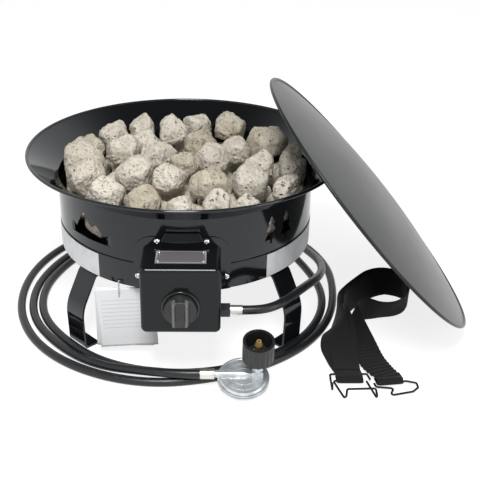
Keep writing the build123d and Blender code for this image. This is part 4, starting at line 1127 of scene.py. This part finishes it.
class FIREBOWL_OT_tag(PieceOperator):
    """Hangs the two blank cards on their bead tie"""

    bl_idname = "firebowl.tag"
    bl_label = "Hang tag"

    steps = 24
    thickness = 0.4 * MM
    width = 84 * MM
    height = 98 * MM
    bead_count = 8
    bead_radius = 1.25 * MM
    bead_step = 2.4 * MM
    bead_insets = (1.3 * MM, 1.4 * MM, 1.2 * MM)
    hole = (-7 * MM, 38 * MM)
    hole_radius = 2.4 * MM
    hole_ring = ((-1, -1), (-1, 0), (-1, 1), (0, 1), (1, 1), (1, 0), (1, -1), (0, -1))

    def bent(self, u, v, curl):
        """A point of the card, from its shares of the width and the height."""
        bow = curl * ((2 * u) ** 2 + 0.6 * max(0, -2 * v) ** 2 - 0.3)
        return Vector((u * self.width, bow, v * self.height))

    def sheet(self):
        """Shares of the width and height of the card's points, and its faces, with the hole for the tie."""
        grid = np.linspace(-0.5, 0.5, self.steps + 1)
        shares = [(u, v) for v in grid for u in grid]
        eye = (self.hole[0] / self.width, self.hole[1] / self.height)
        column, row = (round((share + 0.5) * self.steps) for share in eye)
        n = self.steps + 1
        faces = [(r * n + c, r * n + c + 1, (r + 1) * n + c + 1, (r + 1) * n + c)
                 for r in range(self.steps) for c in range(self.steps)
                 if r not in (row - 1, row) or c not in (column - 1, column)]
        outer = [(row + a) * n + column + b for a, b in self.hole_ring]
        inner = [row * n + column] + [len(shares) + k for k in range(len(outer) - 1)]
        rim = []
        for u, v in [shares[corner] for corner in outer]:
            away = Vector(((u - eye[0]) * self.width, (v - eye[1]) * self.height)).normalized()
            away *= self.hole_radius
            rim.append((eye[0] + away.x / self.width, eye[1] + away.y / self.height))
        shares[inner[0]] = rim[0]
        faces += list(zip(outer, outer[1:] + outer[:1], inner[1:] + inner[:1], inner))
        return shares + rim[1:], faces

    def card(self, name, node, curl, tilt, ruled):
        low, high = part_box(node)
        centre = (low + high) / 2
        shares, faces = self.sheet()
        turn = Matrix.Rotation(tilt, 4, "Y")
        corners = [turn @ self.bent(u, v, curl) + centre for u, v in shares]
        card = mesh_object(name, corners, faces)
        layer = card.data.uv_layers.new(name="card")
        for loop in card.data.loops:
            u, v = shares[loop.vertex_index]
            layer.data[loop.index].uv = (u + 0.5, v + 0.5)
        thick = card.modifiers.new("card thickness", "SOLIDIFY")
        thick.thickness = self.thickness
        thick.offset = 0
        dress(card_finish(name + " paper", self.settings.finish.card, ruled), card)
        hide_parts(node)
        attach(card, "tag_cards")
        return card

    def execute(self, context):
        steel = metal_finish("bead tie steel", (0.62, 0.62, 0.62), 0.25)
        low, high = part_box("tag_tie")
        front, over, under = self.bead_insets
        x, y = (low.x + high.x) / 2, low.y + front
        top, bottom = high.z - over, low.z + under
        last = self.bead_count - 1
        line = [(x, y, top + (bottom - top) * k / last) for k in range(self.bead_count)]
        behind = y + self.bead_step
        line += [(x, behind, top), (x, y + 2 * self.bead_step, top), (x, behind, bottom)]
        chain = beads("tag_beads", line, self.bead_radius, steel)
        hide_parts("tag_tie")
        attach(chain, "bowl")
        self.card("tag_front_card", "hang_tag", -0.8 * MM, math.radians(-3.5), True)
        self.card("tag_rear_card", "tag_back_sheet", 0.7 * MM, math.radians(0.5), False)
        return {"FINISHED"}


class FIREBOWL_OT_stage(PieceOperator):
    """Sets the camera, the pale floor and the soft light"""

    bl_idname = "firebowl.stage"
    bl_label = "Stage"

    camera_at = (0.04274, -1.25381, 0.7302)
    camera_to = (0.08642, -0.00302, 0.10282)
    sensor = 36
    clip = (0.05, 50)
    floor_span = 12.0
    floor_drop = 0.4 * MM
    floor_sides = ((-1, -1), (1, -1), (1, 1), (-1, 1))
    lamps = (
        ("softbox", (-0.05, -1.08, 1.69), (0, -0.2, 0.15), (0.5, 0.8), 1.0),
        ("side", (1.6, -1.1, 0.7), (0.1, -0.1, 0.15), (0.6, 0.9), 0.2),
    )

    def lamp(self, name, place, target, size, power):
        light = bpy.data.lights.new(name, "AREA")
        light.shape = "RECTANGLE"
        light.size, light.size_y = size
        light.energy = power
        lamp = bpy.data.objects.new(name, light)
        lamp.location = place
        lamp.rotation_euler = (Vector(target) - Vector(place)).to_track_quat("-Z", "Y").to_euler()
        bpy.context.scene.collection.objects.link(lamp)
        return lamp

    def camera(self, sizes):
        lens = bpy.data.cameras.new("camera")
        lens.lens = sizes.lens
        lens.sensor_width = self.sensor
        lens.clip_start, lens.clip_end = self.clip
        camera = bpy.data.objects.new("camera", lens)
        ahead = (Vector(self.camera_to) - Vector(self.camera_at)).normalized()
        right = ahead.cross(Vector((0, 0, 1))).normalized()
        up = right.cross(ahead)
        c, s = math.cos(sizes.roll), math.sin(sizes.roll)
        right, up = c * right + s * up, c * up - s * right
        turn = Matrix((right, up, -ahead)).transposed().to_4x4()
        camera.matrix_world = Matrix.Translation(self.camera_at) @ turn
        bpy.context.scene.collection.objects.link(camera)
        bpy.context.scene.camera = camera

    def sky(self, sizes):
        """White to the eye and in reflections, with a dark ceiling there, and softer as light."""
        world = bpy.data.worlds.new("studio")
        world.use_nodes = True
        bpy.context.scene.world = world
        graph = Graph(world.node_tree)
        seen = seen_rays(graph)
        way = graph.node("ShaderNodeTexCoord", out="Generated")
        overhead = graph.node("ShaderNodeSeparateXYZ", sockets=[way], out="Z").over(0.6, 0.95)
        shown = 1 - overhead * (1 - sizes.ceiling)
        sockets = {"Color": (1, 1, 1, 1), "Strength": seen * (shown - sizes.sky) + sizes.sky}
        background = graph.node("ShaderNodeBackground", sockets=sockets)
        graph.node("ShaderNodeOutputWorld", sockets=[background])

    def floor(self, sizes):
        half = self.floor_span / 2
        corners = [(x * half, y * half, -self.floor_drop) for x, y in self.floor_sides]
        floor = mesh_object("floor", corners, [(0, 1, 2, 3)])
        finish = Finish("studio floor", roughness=0.9, specular_ior_level=0.1)
        shade = finish.cloud(finish.place(), 3, 2)
        seen = seen_rays(finish)
        glow = seen * sizes.floor_glow
        pale = finish.mix(shade * 0.1, tuple(sizes.floor), toned(sizes.floor, 0.96))
        finish.set(
            base_color=finish.mix(seen, pale, tuple(sizes.shaded_floor)),
            emission_color=finish.node("ShaderNodeCombineColor", sockets=[glow, glow, glow]),
            emission_strength=1.0,
        )
        dress(finish.material, floor)

    def execute(self, context):
        sizes = self.settings.stage
        context.scene.view_settings.view_transform = "Standard"
        self.camera(sizes)
        self.sky(sizes)
        self.floor(sizes)
        for name, place, target, size, share in self.lamps:
            self.lamp(name, place, target, size, share * sizes.key)
        return {"FINISHED"}


class FIREBOWL_PT_panel(bpy.types.Panel):
    """Lists the steps that dress the fire bowl"""

    bl_idname = "FIREBOWL_PT_panel"
    bl_label = "Fire Bowl"
    bl_space_type = "VIEW_3D"
    bl_region_type = "UI"
    bl_category = "Fire Bowl"

    def draw(self, context):
        for step in STEPS:
            self.layout.operator(step.bl_idname)


STEPS = (
    FIREBOWL_OT_enamel,
    FIREBOWL_OT_lid,
    FIREBOWL_OT_rocks,
    FIREBOWL_OT_hose,
    FIREBOWL_OT_gas_fittings,
    FIREBOWL_OT_knob,
    FIREBOWL_OT_trim,
    FIREBOWL_OT_straps,
    FIREBOWL_OT_tag,
    FIREBOWL_OT_stage,
)
CLASSES = (
    FinishSizes, LidSizes, RockSizes, HoseSizes, StrapSizes, StageSizes,
    FireBowlSettings, *STEPS, FIREBOWL_PT_panel,
)


def register():
    for cls in CLASSES:
        bpy.utils.register_class(cls)
    bpy.types.Scene.fire_bowl = PointerProperty(type=FireBowlSettings)


def unregister():
    del bpy.types.Scene.fire_bowl
    for cls in reversed(CLASSES):
        bpy.utils.unregister_class(cls)


def main():
    register()
    for step in STEPS:
        group, name = step.bl_idname.split(".")
        getattr(getattr(bpy.ops, group), name)()


if __name__ == "__main__":
    main()
